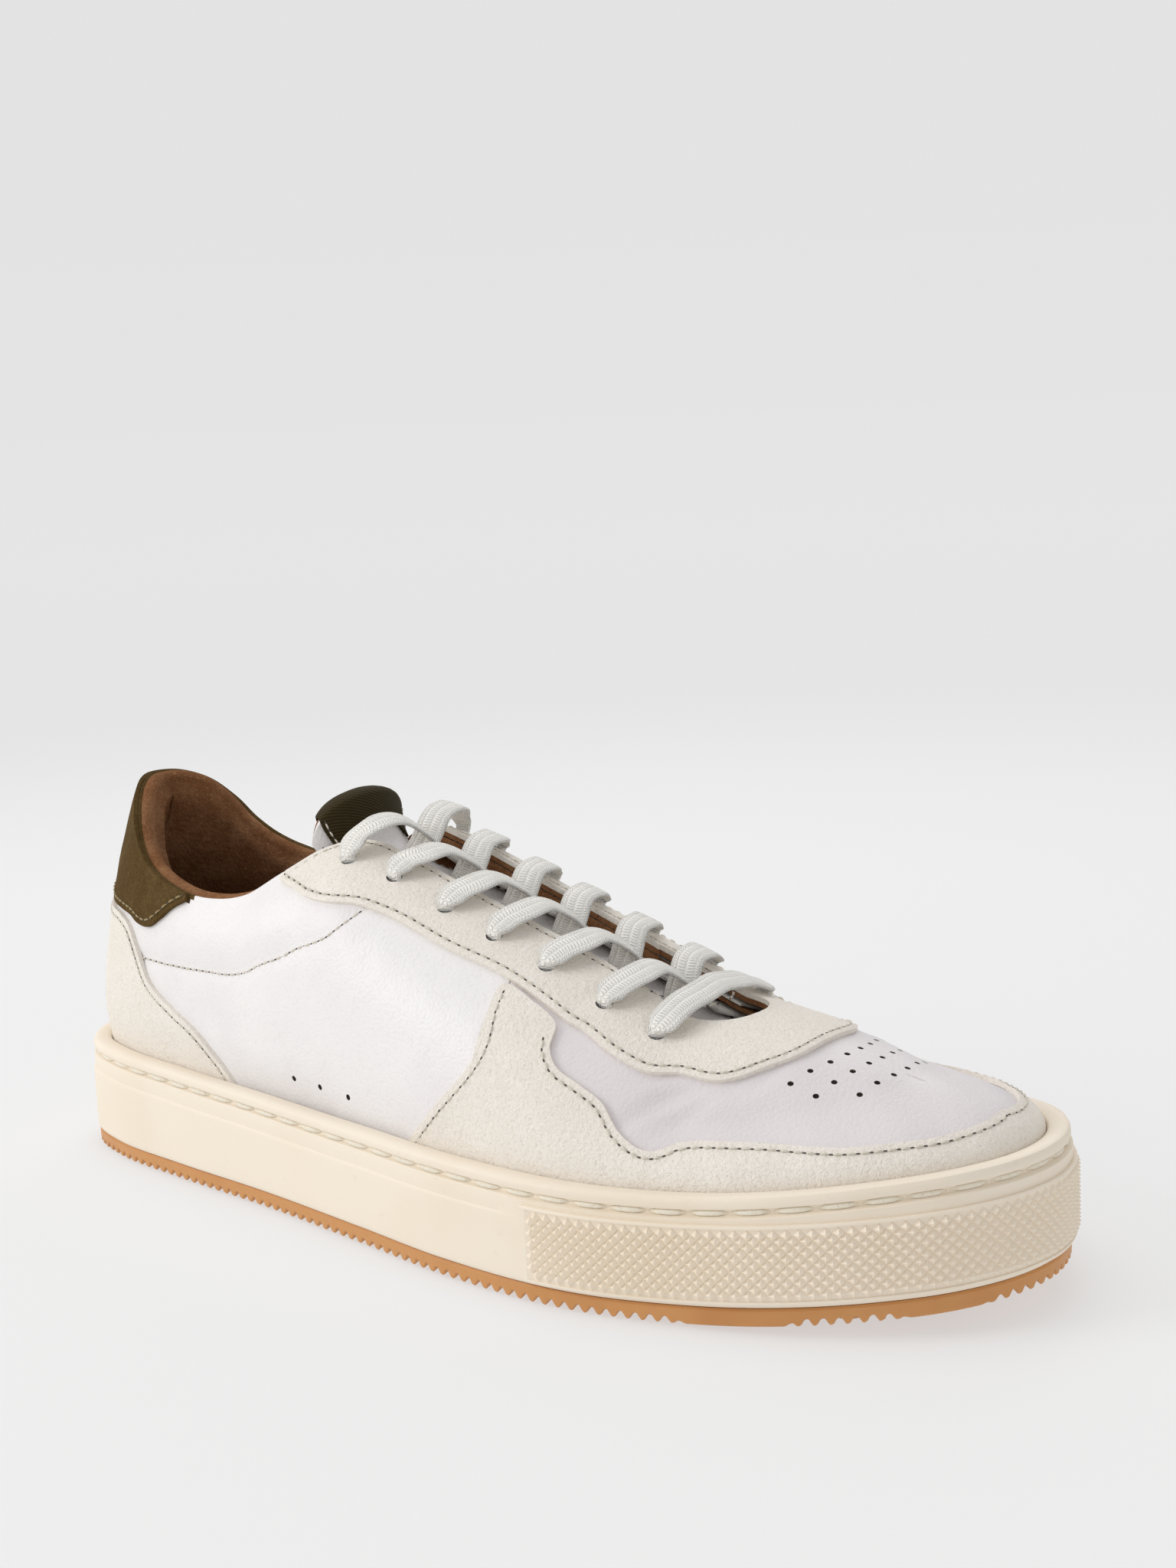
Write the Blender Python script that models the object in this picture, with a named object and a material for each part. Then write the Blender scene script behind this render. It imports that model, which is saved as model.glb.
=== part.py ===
"""Court shoe, right foot: a stitched cupsole trainer built up from its separate pieces.

Metres, +Z up, toe towards +X, big-toe side towards +Y. The origin is on the ground under the
middle of the shoe's box. Every piece of the upper is a patch of one shared surface, the outer
face of the base leather, given a thickness between two offsets from it.
"""
import math

import bmesh
import bpy
import numpy as np
from mathutils import Vector

# ---------------------------------------------------------------------------
# Driving dimensions, in millimetres. x runs from the back of the heel to the toe,
# y is positive on the big-toe (medial) side, z is height above the ground.
# ---------------------------------------------------------------------------
OUTSOLE_THICK = 4.3
CUP_HEIGHT = 27.0          # rubber cup above the outsole, at heel and toe
CUP_WAIST_DROP = 1.9       # the cup's top edge is this much lower at the waist
TOE_SPRING = 7.0           # how far the sole tip lifts off the ground
SPRING_START = 212.0       # x where the lift begins
WALL = 4.6                 # thickness of the cup's wall
LAST_INSET = 7.3           # base leather's outer face, in from the cup's outer face
FEATHER_HEIGHT = 6.0       # upper's lowest edge, above the bottom of the cup
GAP = 0.3                  # clearance between pieces that touch

# Outline of the cup seen from above: (x, y), from the heel round the lateral side to the toe.
LATERAL_OUTLINE = [(0, 0), (4.5, -17), (14, -29), (32, -36.5), (62, -41), (100, -45), (140, -51),
                   (172, -56), (205, -57), (232, -52), (256, -44.5), (276, -34), (291, -22), (299.5, -9)]
MEDIAL_OUTLINE = [(302, 4), (299.5, 17), (291, 31.5), (276, 44), (255, 51.5), (230, 52.5), (204, 48),
                  (172, 39), (140, 33.5), (100, 33.5), (62, 37), (32, 36), (14, 29), (4.5, 17)]

# One row per loft section of the upper, heel centre to toe tip: the section's place along the sole's
# edge (0 heel, 1 toe), where its top edge lies (x, y outward, z), the direction in which the leather
# arrives there (x, y outward, z), its curve's two handle lengths as shares of its height, and how far
# it flares out as it leaves the sole.
SECTIONS = [
    (0.000, 17.5, 0, 105, (0.50, 0.00, 0.90), 0.35, 0.35, 0.22),
    (0.035, 20, 7, 104.5, (0.40, -0.10, 0.90), 0.35, 0.35, 0.22),
    (0.070, 24.5, 13.5, 101.5, (0.25, -0.15, 0.95), 0.35, 0.35, 0.20),
    (0.105, 29, 18.5, 96, (0.10, -0.20, 1.0), 0.35, 0.35, 0.17),
    (0.145, 34.5, 22.5, 88.5, (0.00, -0.24, 1.0), 0.35, 0.35, 0.14),
    (0.185, 42, 25.5, 83, (0.00, -0.26, 1.0), 0.35, 0.35, 0.12),
    (0.225, 53, 28, 79.3, (0.00, -0.28, 1.0), 0.35, 0.35, 0.10),
    (0.270, 67, 30, 77.7, (0.00, -0.32, 1.0), 0.36, 0.35, 0.08),
    (0.315, 82, 29.5, 79.5, (0.00, -0.45, 1.0), 0.38, 0.35, 0.06),
    (0.360, 95, 26, 86.5, (-0.10, -0.80, 0.8), 0.42, 0.35, 0.05),
    (0.400, 104, 17, 92, (-0.15, -1.00, 0.45), 0.45, 0.38, 0.04),
    (0.435, 114, 13, 93.5, (-0.15, -1.00, 0.30), 0.48, 0.40, 0.03),
    (0.485, 130, 12, 89.5, (-0.12, -1.00, 0.28), 0.48, 0.40, 0.03),
    (0.540, 150, 11.5, 82.5, (-0.10, -1.00, 0.28), 0.48, 0.40, 0.03),
    (0.595, 170, 11, 75.5, (-0.10, -1.00, 0.28), 0.48, 0.42, 0.02),
    (0.650, 190, 10.5, 68, (-0.08, -1.00, 0.28), 0.46, 0.44, 0.02),
    (0.690, 203, 10, 63.2, (-0.05, -1.00, 0.25), 0.44, 0.45, 0.02),
    (0.718, 211, 7.5, 60.2, (0.00, -1.00, 0.18), 0.42, 0.45, 0.02),
    (0.745, 215.5, 0, 59, (0.00, -1.00, 0.00), 0.40, 0.42, 0.02),
    (0.780, 226, 0, 57.4, (0.00, -1.00, 0.00), 0.38, 0.42, 0.02),
    (0.820, 238, 0, 55.3, (0.00, -1.00, 0.00), 0.36, 0.42, 0.02),
    (0.860, 249, 0, 52.9, (0.00, -1.00, 0.00), 0.35, 0.42, 0.02),
    (0.900, 258, 0, 50.6, (-0.30, -0.90, 0.05), 0.35, 0.42, 0.02),
    (0.935, 264, 0, 49.0, (-0.60, -0.75, 0.10), 0.36, 0.42, 0.02),
    (0.970, 267.5, 0, 48.0, (-0.85, -0.45, 0.16), 0.38, 0.42, 0.02),
    (1.000, 269, 0, 47.6, (-1.00, 0.00, 0.20), 0.40, 0.42, 0.02),
]
TOE_CENTRE_Y = 3.5         # the toe's centre line drifts towards the big toe
TOE_DRIFT_START = 150.0


def hermite(knots, values, at):
    """Smooth curve through the values at the knots (central-difference tangents), read at the given places."""
    knots = np.asarray(knots, float)
    values = np.asarray(values, float)
    at = np.asarray(at, float)
    if values.ndim == 1:
        return hermite(knots, values[:, None], at)[..., 0]
    slopes = np.gradient(values, knots, axis=0)
    cell = np.clip(np.searchsorted(knots, at, side="right") - 1, 0, len(knots) - 2)
    width = (knots[cell + 1] - knots[cell])[..., None]
    s = ((at - knots[cell])[..., None]) / width
    low, high = values[cell], values[cell + 1]
    return ((2 * s**3 - 3 * s**2 + 1) * low + (s**3 - 2 * s**2 + s) * width * slopes[cell]
            + (3 * s**2 - 2 * s**3) * high + (s**3 - s**2) * width * slopes[cell + 1])


def smooth_step(x, low, high):
    """0 below low, 1 above high, with a smooth rise between."""
    s = np.clip((np.asarray(x, float) - low) / (high - low), 0, 1)
    return s * s * (3 - 2 * s)


def closed_curve(points, samples=720):
    """Closed smooth curve through points, as samples evenly spaced along its length from the first point."""
    pts = np.asarray(points, float)
    count = len(pts)
    ring = np.concatenate([pts[-3:], pts, pts[:4]])
    steps = np.linalg.norm(np.diff(ring, axis=0), axis=1)
    knots = np.concatenate([[0], np.cumsum(steps**0.75)])
    fine = hermite(knots, ring, np.linspace(knots[3], knots[3 + count], 8 * samples + 1))
    lengths = np.concatenate([[0], np.cumsum(np.linalg.norm(np.diff(fine, axis=0), axis=1))])
    where = np.linspace(0, lengths[-1], samples + 1)[:-1]
    return np.stack([np.interp(where, lengths, fine[:, k]) for k in range(pts.shape[1])], 1)


OUTLINE = closed_curve(LATERAL_OUTLINE + MEDIAL_OUTLINE)
TOE_INDEX = int(np.argmax(OUTLINE[:, 0]))


def wrap(turn):
    """turn brought back into -1..1, so that a piece may run on past the toe tip."""
    return (np.asarray(turn, float) + 1) % 2 - 1


def sole_edge(turn, inset=0.0):
    """Point on the cup's outline, in by inset. turn is -1..1: 0 heel, negative lateral, +-1 toe tip."""
    turn = wrap(turn)
    samples = len(OUTLINE)
    lateral = -turn * TOE_INDEX
    medial = samples - turn * (samples - TOE_INDEX)
    place = np.where(turn <= 0, lateral, medial)
    wrapped = np.arange(-2, samples + 3)
    ring = OUTLINE[wrapped % samples]
    ahead = np.roll(OUTLINE, -4, 0) - np.roll(OUTLINE, 4, 0)
    ahead /= np.linalg.norm(ahead, axis=1)[:, None]
    inward = np.stack([-ahead[:, 1], ahead[:, 0]], 1)[wrapped % samples]
    point = np.stack([np.interp(place, wrapped, ring[:, k]) for k in (0, 1)], -1)
    normal = np.stack([np.interp(place, wrapped, inward[:, k]) for k in (0, 1)], -1)
    normal /= np.linalg.norm(normal, axis=-1)[..., None]
    return point + normal * np.asarray(inset, float)[..., None], normal


def spring(x):
    """Lift of the sole at x."""
    s = np.clip((np.asarray(x, float) - SPRING_START) / (302.0 - SPRING_START), 0, 1)
    return TOE_SPRING * s**1.8


def cup_bottom(x):
    return OUTSOLE_THICK + spring(x)


def cup_top(x):
    waist = smooth_step(x, 20, 130) * (1 - smooth_step(x, 230, 300))
    return OUTSOLE_THICK + CUP_HEIGHT + spring(x) - CUP_WAIST_DROP * waist


def toe_drift(x):
    return TOE_CENTRE_Y * smooth_step(x, TOE_DRIFT_START, 300.0)


def section_table():
    """Knots and values of the loft sections for turn from below -1 to above 1."""
    rows = []
    for place, x, y, z, arrive, low, high, flare in SECTIONS:
        rows.append((place, x, y, z, *arrive, low, high, flare))
    rows = np.array(rows, float)
    mirrored = rows[1:][::-1].copy()
    mirrored[:, 0] *= -1
    lateral, medial = mirrored, rows
    lateral[:, 2] *= -1
    lateral[:, 5] *= -1
    table = np.concatenate([lateral, medial])
    before = medial[-4:-1].copy()
    before[:, 0] -= 2
    after = lateral[1:4].copy()
    after[:, 0] += 2
    return np.concatenate([before, table, after])


TABLE = section_table()


def upper(turn, rise):
    """Outer face of the base leather. turn as in sole_edge, rise 0 at the sole to 1 at the top edge."""
    turn, rise = np.broadcast_arrays(wrap(turn), np.asarray(rise, float))
    foot, inward = sole_edge(turn, LAST_INSET)
    start = np.concatenate([foot, (cup_bottom(foot[..., 0]) + FEATHER_HEIGHT)[..., None]], -1)
    row = hermite(TABLE[:, 0], TABLE[:, 1:], turn)
    end = row[..., 0:3].copy()
    end[..., 1] += toe_drift(end[..., 0])
    arrive = row[..., 3:6] / np.linalg.norm(row[..., 3:6], axis=-1)[..., None]
    span = np.linalg.norm(end - start, axis=-1)[..., None]
    leave = np.concatenate([-inward * row[..., 8:9], np.ones_like(inward[..., :1])], -1)
    one = start + leave * span * row[..., 6:7]
    two = end - arrive * span * row[..., 7:8]
    s = rise[..., None]
    point = (1 - s) ** 3 * start + 3 * (1 - s) ** 2 * s * one + 3 * (1 - s) * s * s * two + s**3 * end
    return point - held_in_cup(point, foot, inward)


def held_in_cup(point, foot, inward):
    """How far each point is moved so that the leather stands up along the cup's wall."""
    outward = -np.sum((point[..., :2] - foot) * inward, axis=-1)
    rim = cup_top(foot[..., 0])
    press = outward * (1 - smooth_step((point[..., 2] - rim) / 12.0, -0.1, 1.0))
    return np.concatenate([-inward * press[..., None], np.zeros_like(press)[..., None]], -1)


def upper_normal(turn, rise):
    """Unit normal of the upper, pointing outward."""
    turn, rise = np.broadcast_arrays(np.asarray(turn, float), np.asarray(rise, float))
    dt, dr = 2e-3, 2e-3
    rise = np.clip(rise, dr, 0.985)
    along = upper(turn + dt, rise) - upper(turn - dt, rise)
    up = upper(turn, rise + dr) - upper(turn, rise - dr)
    normal = np.cross(up, along)
    return normal / np.linalg.norm(normal, axis=-1)[..., None]


# ---------------------------------------------------------------------------
# Layers of the upper, as offsets in mm from the outer face of the base leather.
# ---------------------------------------------------------------------------
OVERLAY = (0.65, 1.85)        # suede pieces sewn on top
BASE = (-1.4, 0.0)            # white leather
BACKING = (-2.95, -2.15)      # heel stiffener
TOE_PUFF = (-2.9, -2.1)      # thin thermoplastic felt in the toe
TAPE = (-2.95, -2.2)          # cotton tapes behind the eyelets
LINING_OUTER = -3.6
LINING_THICK = 0.7
COLLAR_PAD = 4.2              # extra foam in the collar
EYELET_RADIUS = 2.6
LACE_WIDTH, LACE_THICK = 7.0, 1.1
PINCH_WIDTH, PINCH_THICK = 2.6, 1.6

# Stations that every layer shares, so that stacked layers have parallel facets.
TURNS = np.concatenate([np.arange(0.02, 0.14, 0.0225), np.arange(0.165, 0.59, 0.033),
                        np.arange(0.62, 0.9, 0.033), np.arange(0.915, 1.0, 0.021)])
RISES = np.array([0, 0.14, 0.24, 0.34, 0.44, 0.54, 0.64, 0.76, 0.88, 1.0])

# Places on the upper, as (turn, rise) on the medial side. The lateral side mirrors them.
SEAM_TURN = 0.598             # quarter meets vamp, hidden under the mudguard's wing
THROAT_FRONT = 0.745
LINING_SEAM = 0.385
EYELETS = [(0.716, 0.807), (0.667, 0.850), (0.617, 0.870), (0.573, 0.877),
           (0.530, 0.885), (0.482, 0.900), (0.436, 0.900)]

# Edge pairs (turn, rise, turn, rise): a low edge and a high edge that a strip is drawn between.
MUDGUARD_EDGES = [
    (0.444, 0, 0.449, 0.02), (0.464, 0, 0.497, 0.135), (0.486, 0, 0.537, 0.26), (0.510, 0, 0.570, 0.39),
    (0.536, 0, 0.586, 0.50), (0.558, 0, 0.590, 0.64), (0.584, 0, 0.596, 0.735), (0.600, 0, 0.620, 0.725),
    (0.618, 0, 0.640, 0.69), (0.640, 0, 0.640, 0.60), (0.658, 0, 0.648, 0.54), (0.676, 0, 0.668, 0.515),
    (0.692, 0, 0.686, 0.483), (0.706, 0, 0.700, 0.40), (0.724, 0, 0.726, 0.355), (0.750, 0, 0.748, 0.37),
    (0.780, 0, 0.778, 0.40), (0.820, 0, 0.815, 0.432), (0.870, 0, 0.865, 0.47), (0.912, 0, 0.910, 0.553),
    (0.955, 0, 0.952, 0.64), (1.000, 0, 1.000, 0.71)]
EYESTAY_EDGES = [
    (0.363, 0.955, 0.367, 0.978), (0.385, 0.857, 0.383, 0.982), (0.409, 0.770, 0.396, 0.987),
    (0.436, 0.735, 0.418, 0.995), (0.469, 0.757, 0.450, 1), (0.500, 0.765, 0.490, 1), (0.544, 0.755, 0.540, 1),
    (0.587, 0.765, 0.585, 1), (0.620, 0.748, 0.620, 1), (0.647, 0.722, 0.647, 1), (0.662, 0.718, 0.662, 1),
    (0.689, 0.677, 0.685, 1), (0.716, 0.645, 0.705, 1), (0.741, 0.600, 0.718, 1), (0.765, 0.590, 0.728, 1),
    (0.789, 0.633, 0.735, 1), (0.811, 0.710, 0.740, 1), (0.832, 0.803, 0.743, 1), (0.843, 0.900, 0.7445, 1),
    (0.846, 1, THROAT_FRONT, 1)]
HEEL_COUNTER_EDGES = [
    (0.000, 0, 0.000, 0.630), (0.050, 0, 0.040, 0.633), (0.090, 0, 0.080, 0.650), (0.120, 0, 0.115, 0.690),
    (0.145, 0, 0.148, 0.708), (0.170, 0, 0.170, 0.670), (0.197, 0, 0.195, 0.580), (0.225, 0, 0.229, 0.520),
    (0.255, 0, 0.260, 0.457), (0.280, 0, 0.281, 0.357), (0.305, 0, 0.297, 0.253), (0.322, 0, 0.312, 0.130),
    (0.332, 0, 0.326, 0.020)]
HEEL_TAB_EDGES = [
    (0.000, 0.645, 0.000, 1), (0.040, 0.650, 0.040, 1), (0.080, 0.668, 0.080, 1), (0.115, 0.710, 0.115, 1),
    (0.148, 0.755, 0.148, 1), (0.178, 0.778, 0.175, 1), (0.200, 0.803, 0.195, 1), (0.218, 0.860, 0.213, 1),
    (0.235, 0.928, 0.232, 1), (0.252, 0.975, 0.251, 1)]

# The tongue's centre line, root to top edge (x, z), its half width and the radius of its curl across.
TONGUE_SPINE = [(226, 49.0), (200, 56.6), (175, 66.2), (150, 75.4), (130, 81.4), (119, 84.6), (111.8, 87.4),
                (106.5, 91.8), (104.2, 97.7), (103.8, 104.3)]
TONGUE_HALF_WIDTH = [13, 18, 20.2, 20.5, 20.0, 19.8, 19.1, 18.3, 21.5, 24]
TONGUE_CURL = [50, 55, 58, 55, 48, 38, 30, 25, 26, 28]
TONGUE_ROOT = (226.0, 0.0, 47.0)   # the tongue tips about a line across the shoe through here
TONGUE_CORNER = 0.16          # how much shorter the tongue is at its top corners, as a share of its length
RIBBON_REACH = 0.75           # half the ribbon's width, as a share of the tongue's half width
# Half outline of the throat's rounded front end seen from above: (x, half width), about the upper's ridge.
THROAT_END = [(190, 11.0), (200, 11.8), (208, 12.6), (214, 13.0), (219, 12.0), (223, 9.0), (225.3, 4.6)]
TONGUE_LAYERS = {"tongue_face": (-1.2, 0.0), "tongue_foam": (-4.2, -1.7), "tongue_lining": (-5.7, -4.8)}


# ---------------------------------------------------------------------------
# Scene, materials and mesh helpers
# ---------------------------------------------------------------------------
def clear_scene():
    for obj in list(bpy.data.objects):
        bpy.data.objects.remove(obj, do_unlink=True)


def make_material(name, colour, roughness, metallic=0.0):
    material = bpy.data.materials.new(name)
    material.use_nodes = True
    shader = material.node_tree.nodes["Principled BSDF"]
    shader.inputs["Base Color"].default_value = (*colour, 1.0)
    shader.inputs["Roughness"].default_value = roughness
    shader.inputs["Metallic"].default_value = metallic
    return material


def make_materials():
    table = {
        "white_leather": ((0.86, 0.84, 0.85), 0.45), "cream_suede": ((0.80, 0.75, 0.64), 0.95),
        "olive_suede": ((0.10, 0.07, 0.02), 0.95), "brown_suede": ((0.33, 0.17, 0.08), 0.95),
        "cream_rubber": ((0.88, 0.79, 0.66), 0.55), "gum_rubber": ((0.62, 0.32, 0.12), 0.50),
        "olive_ribbon": ((0.035, 0.025, 0.006), 0.75), "off_white_cotton": ((0.86, 0.84, 0.78), 0.90),
        "foam": ((0.75, 0.72, 0.62), 0.95), "fibre_board": ((0.45, 0.36, 0.25), 0.90),
        "stiffener": ((0.62, 0.58, 0.50), 0.80), "tape": ((0.80, 0.78, 0.72), 0.85),
        "thread": ((0.80, 0.74, 0.62), 0.70), "aglet_plastic": ((0.85, 0.84, 0.80), 0.30),
    }
    return {name: make_material(name, *values) for name, values in table.items()}


def add_part(name, mesh, holder=None):
    """Object whose mesh is in shoe coordinates, carried by the shoe's frame or by another empty in it."""
    obj = bpy.data.objects.new(name, mesh)
    PARTS.objects.link(obj)
    obj.parent = holder or FRAME
    if holder:
        obj.location = -holder.location
    return obj


def add_mesh(name, points_mm, faces, material, holder=None):
    """Object from points in shoe millimetres; faces end up pointing out."""
    mesh = bpy.data.meshes.new(name)
    mesh.from_pydata([tuple(p) for p in np.asarray(points_mm) * 0.001], [], faces)
    mesh.materials.append(material)
    shell = bmesh.new()
    shell.from_mesh(mesh)
    bmesh.ops.recalc_face_normals(shell, faces=shell.faces)
    shell.to_mesh(mesh)
    shell.free()
    mesh.shade_smooth()
    mesh.set_sharp_from_angle(angle=math.radians(40))
    return add_part(name, mesh, holder)


def thicken(outer, inner, faces):
    """Closed solid between two skins that share their faces: walls close it round every free edge."""
    count = len(outer)
    edges = {}
    for face in faces:
        for a, b in zip(face, face[1:] + face[:1]):
            edges[(a, b)] = edges.get((a, b), 0) + 1
    walls = [(b, a, a + count, b + count) for a, b in edges if (b, a) not in edges]
    flipped = [tuple(i + count for i in reversed(face)) for face in faces]
    return np.concatenate([outer, inner]), [tuple(f) for f in faces] + flipped + walls


def patch(name, places, material, low, high):
    """Solid patch of the upper. places is a grid of (turn, rise); low and high are offsets or functions."""
    rows, columns = places.shape[:2]
    turn, rise = places[..., 0].ravel(), places[..., 1].ravel()
    base, normal = upper(turn, rise), upper_normal(turn, rise)
    offsets = [bound(turn, rise) if callable(bound) else np.full(len(turn), bound) for bound in (low, high)]
    keys, index = {}, []
    for number, point in enumerate(np.round(base, 3)):
        index.append(keys.setdefault(tuple(point), len(keys)))
    index = np.array(index)
    first = np.array([np.flatnonzero(index == k)[0] for k in range(len(keys))])
    mean_normal = np.zeros((len(keys), 3))
    np.add.at(mean_normal, index, normal)
    mean_normal /= np.linalg.norm(mean_normal, axis=1)[:, None]
    faces = []
    for i in range(rows - 1):
        for j in range(columns - 1):
            corners = [i * columns + j, (i + 1) * columns + j, (i + 1) * columns + j + 1, i * columns + j + 1]
            ring = [int(index[c]) for c in corners]
            ring = [c for k, c in enumerate(ring) if c != ring[k - 1]]
            if len(ring) > 2:
                faces.append(ring)
    skins = [base[first] + mean_normal * offset[first][:, None] for offset in offsets]
    points, solid_faces = thicken(skins[1], skins[0], faces)
    return add_mesh(name, points, solid_faces, material)


def between(stations, low, high):
    """low, the shared stations that lie well inside the span, and high."""
    margin = 0.006
    inside = stations[(stations > low + margin) & (stations < high - margin)]
    return np.concatenate([[low], inside, [high]])


def rectangle(turn_low, turn_high, rise_low, rise_high):
    """Grid of places over a plain span of the medial side."""
    turn, rise = np.meshgrid(between(TURNS, turn_low, turn_high), between(RISES, rise_low, rise_high),
                             indexing="ij")
    return np.stack([turn, rise], -1)


def mirrored(grid):
    other = grid.copy()
    other[..., 0] *= -1
    return other


def through_heel(grid):
    """A medial grid that starts at the heel's centre line, joined there to its mirror image."""
    return np.concatenate([mirrored(grid)[::-1], grid[1:]])


def through_toe(grid):
    """A medial grid that ends at the toe tip, joined there to its mirror image."""
    return np.concatenate([mirrored(grid), grid[::-1][1:]])


def strip(edges, rows, columns):
    """Medial grid of places between the low and the high edge of an edge-pair list."""
    pairs = hermite(np.arange(len(edges)), np.array(edges, float), np.linspace(0, len(edges) - 1, rows))
    share = np.linspace(0, 1, columns)[:, None]
    places = pairs[:, None, 0:2] * (1 - share) + pairs[:, None, 2:4] * share
    places[..., 1] = np.clip(places[..., 1], 0, 1)
    return places


def collar_pad(turn, rise):
    """Extra padding inside the collar, in mm."""
    along = 1 - smooth_step(np.abs(wrap(turn)), 0.29, 0.37)
    return COLLAR_PAD * smooth_step(rise, 0.60, 0.76) * (1 - smooth_step(rise, 0.90, 1.03)) * along


# ---------------------------------------------------------------------------
# Sole
# ---------------------------------------------------------------------------
def sole_ring(count, inset, height, toe_inset=0.0):
    """count points round the sole at an inset; height is a function of x. toe_inset adds to it at the toe."""
    turn = np.linspace(-1, 1, count, endpoint=False)
    edge, _ = sole_edge(turn, inset + toe_inset * smooth_step(np.abs(turn), 0.78, 0.92))
    return np.column_stack([edge, height(edge[:, 0])])


def ring_solid(name, rings, material, closed_profile):
    """Solid from rings of equal count: a capped plug, or a closed band where closed_profile is true."""
    count, levels = len(rings[0]), len(rings)
    points = np.concatenate(rings)
    faces = []
    for level in range(levels if closed_profile else levels - 1):
        upper_level = (level + 1) % levels
        for k in range(count):
            after = (k + 1) % count
            faces.append((level * count + k, level * count + after,
                          upper_level * count + after, upper_level * count + k))
    if not closed_profile:
        for level in (0, levels - 1):
            faces += cap_faces(level * count, count)
    return add_mesh(name, points, faces, material)


def cap_faces(start, count):
    """Quads across a ring that is symmetric about its ends: point k faces point count - k."""
    faces = [(start, start + 1, start + count - 1)]
    for k in range(1, count // 2 - 1):
        faces.append((start + k, start + k + 1, start + count - k - 1, start + count - k))
    faces.append((start + count // 2 - 1, start + count // 2, start + count // 2 + 1))
    return faces


def plate(name, material, inset, low, high, count=80, rounding=0.0, toe_inset=0.0):
    """Flat plate inside the sole that follows its lift, between two heights above the ground line."""
    def level(height):
        return lambda x: height + spring(x)
    profile = [(inset + rounding, low), (inset, low + rounding), (inset, high - rounding), (inset + rounding, high)]
    rings = [sole_ring(count, ring_inset, level(height), toe_inset) for ring_inset, height in profile]
    if rounding == 0:
        rings = [rings[0], rings[3]]
    return ring_solid(name, rings, material, False)


CUP_FLOOR = OUTSOLE_THICK + GAP + 5.0
BUMPER_THICK = 1.3
BUMPER_REACH = 0.63           # the bumper runs from this turn round the toe
GROOVE_DEPTH = 1.3
GROOVE_DROP = 3.6             # stitch groove, below the cup's top edge


def build_sole(mats):
    plate("outsole", mats["gum_rubber"], 1.0, 0.0, OUTSOLE_THICK, count=100)
    count = 100
    base = OUTSOLE_THICK + GAP

    def above_bottom(height):
        return lambda x: height + spring(x)

    def below_top(drop):
        return lambda x: cup_top(x) - drop
    profile = [(1.2, above_bottom(base)), (0.0, above_bottom(base + 1.2)), (0.2, below_top(8.0)),
               (0.9, below_top(GROOVE_DROP + 0.9)), (0.9 + GROOVE_DEPTH, below_top(GROOVE_DROP)),
               (1.0, below_top(GROOVE_DROP - 0.9)), (1.3, below_top(0.8)), (2.1, below_top(0.0)),
               (WALL, below_top(0.3)), (WALL, above_bottom(CUP_FLOOR))]
    outer = [sole_ring(count, inset, height) for inset, height in profile]
    ring_solid("cupsole", outer, mats["cream_rubber"], False)
    stitch_ring(mats["thread"])
    bumper(mats["cream_rubber"])
    plate("midsole_wedge", mats["foam"], 13.0, CUP_FLOOR + GAP, CUP_FLOOR + 6.2)
    plate("insole_board", mats["fibre_board"], 13.0, CUP_FLOOR + 6.5, CUP_FLOOR + 8.3,
          toe_inset=1.6)
    plate("footbed", mats["brown_suede"], 13.9, CUP_FLOOR + 8.6, CUP_FLOOR + 12.8, rounding=0.8,
          toe_inset=3.6)


def stitch_ring(material):
    """The sole stitching's thread, lying in the cup's groove as one loop."""
    count = 100
    path = sole_ring(count, 0.9 + GROOVE_DEPTH - 0.95, lambda x: cup_top(x) - GROOVE_DROP)
    curve = bpy.data.curves.new("stitch_path", "CURVE")
    curve.dimensions = "3D"
    spline = curve.splines.new("POLY")
    spline.points.add(count - 1)
    for point, place in zip(spline.points, path):
        point.co = (*(place * 0.001), 1.0)
    spline.use_cyclic_u = True
    curve.bevel_depth = 0.00045
    curve.bevel_resolution = 0
    guide = bpy.data.objects.new("stitch_path", curve)
    bpy.context.scene.collection.objects.link(guide)
    bpy.context.view_layer.update()
    mesh = bpy.data.meshes.new_from_object(guide.evaluated_get(bpy.context.evaluated_depsgraph_get()))
    bpy.data.objects.remove(guide, do_unlink=True)
    mesh.name = "sole_stitching"
    mesh.materials.clear()
    mesh.materials.append(material)
    add_part("sole_stitching", mesh)


def bumper(material):
    """Textured rubber strip wrapped round the toe, low on the cup's side."""
    count = 46
    turn = np.linspace(-BUMPER_REACH, -(2 - BUMPER_REACH), count)
    profile = [(-GAP, 1.6), (-GAP - BUMPER_THICK, 2.2), (-GAP - BUMPER_THICK, 19.0), (-GAP, 19.6)]
    points = []
    for inset, height in profile:
        edge, _ = sole_edge(turn, np.full(count, inset))
        points.append(np.column_stack([edge, height + base_height(edge[:, 0])]))
    rows = len(profile)
    faces = [(level * count + k, level * count + k + 1, ((level + 1) % rows) * count + k + 1,
              ((level + 1) % rows) * count + k) for level in range(rows) for k in range(count - 1)]
    faces += [tuple(level * count for level in range(rows)), tuple(level * count + count - 1 for level in range(rows))]
    add_mesh("toe_bumper", np.concatenate(points), faces, material)


def base_height(x):
    return OUTSOLE_THICK + GAP + spring(x)


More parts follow.
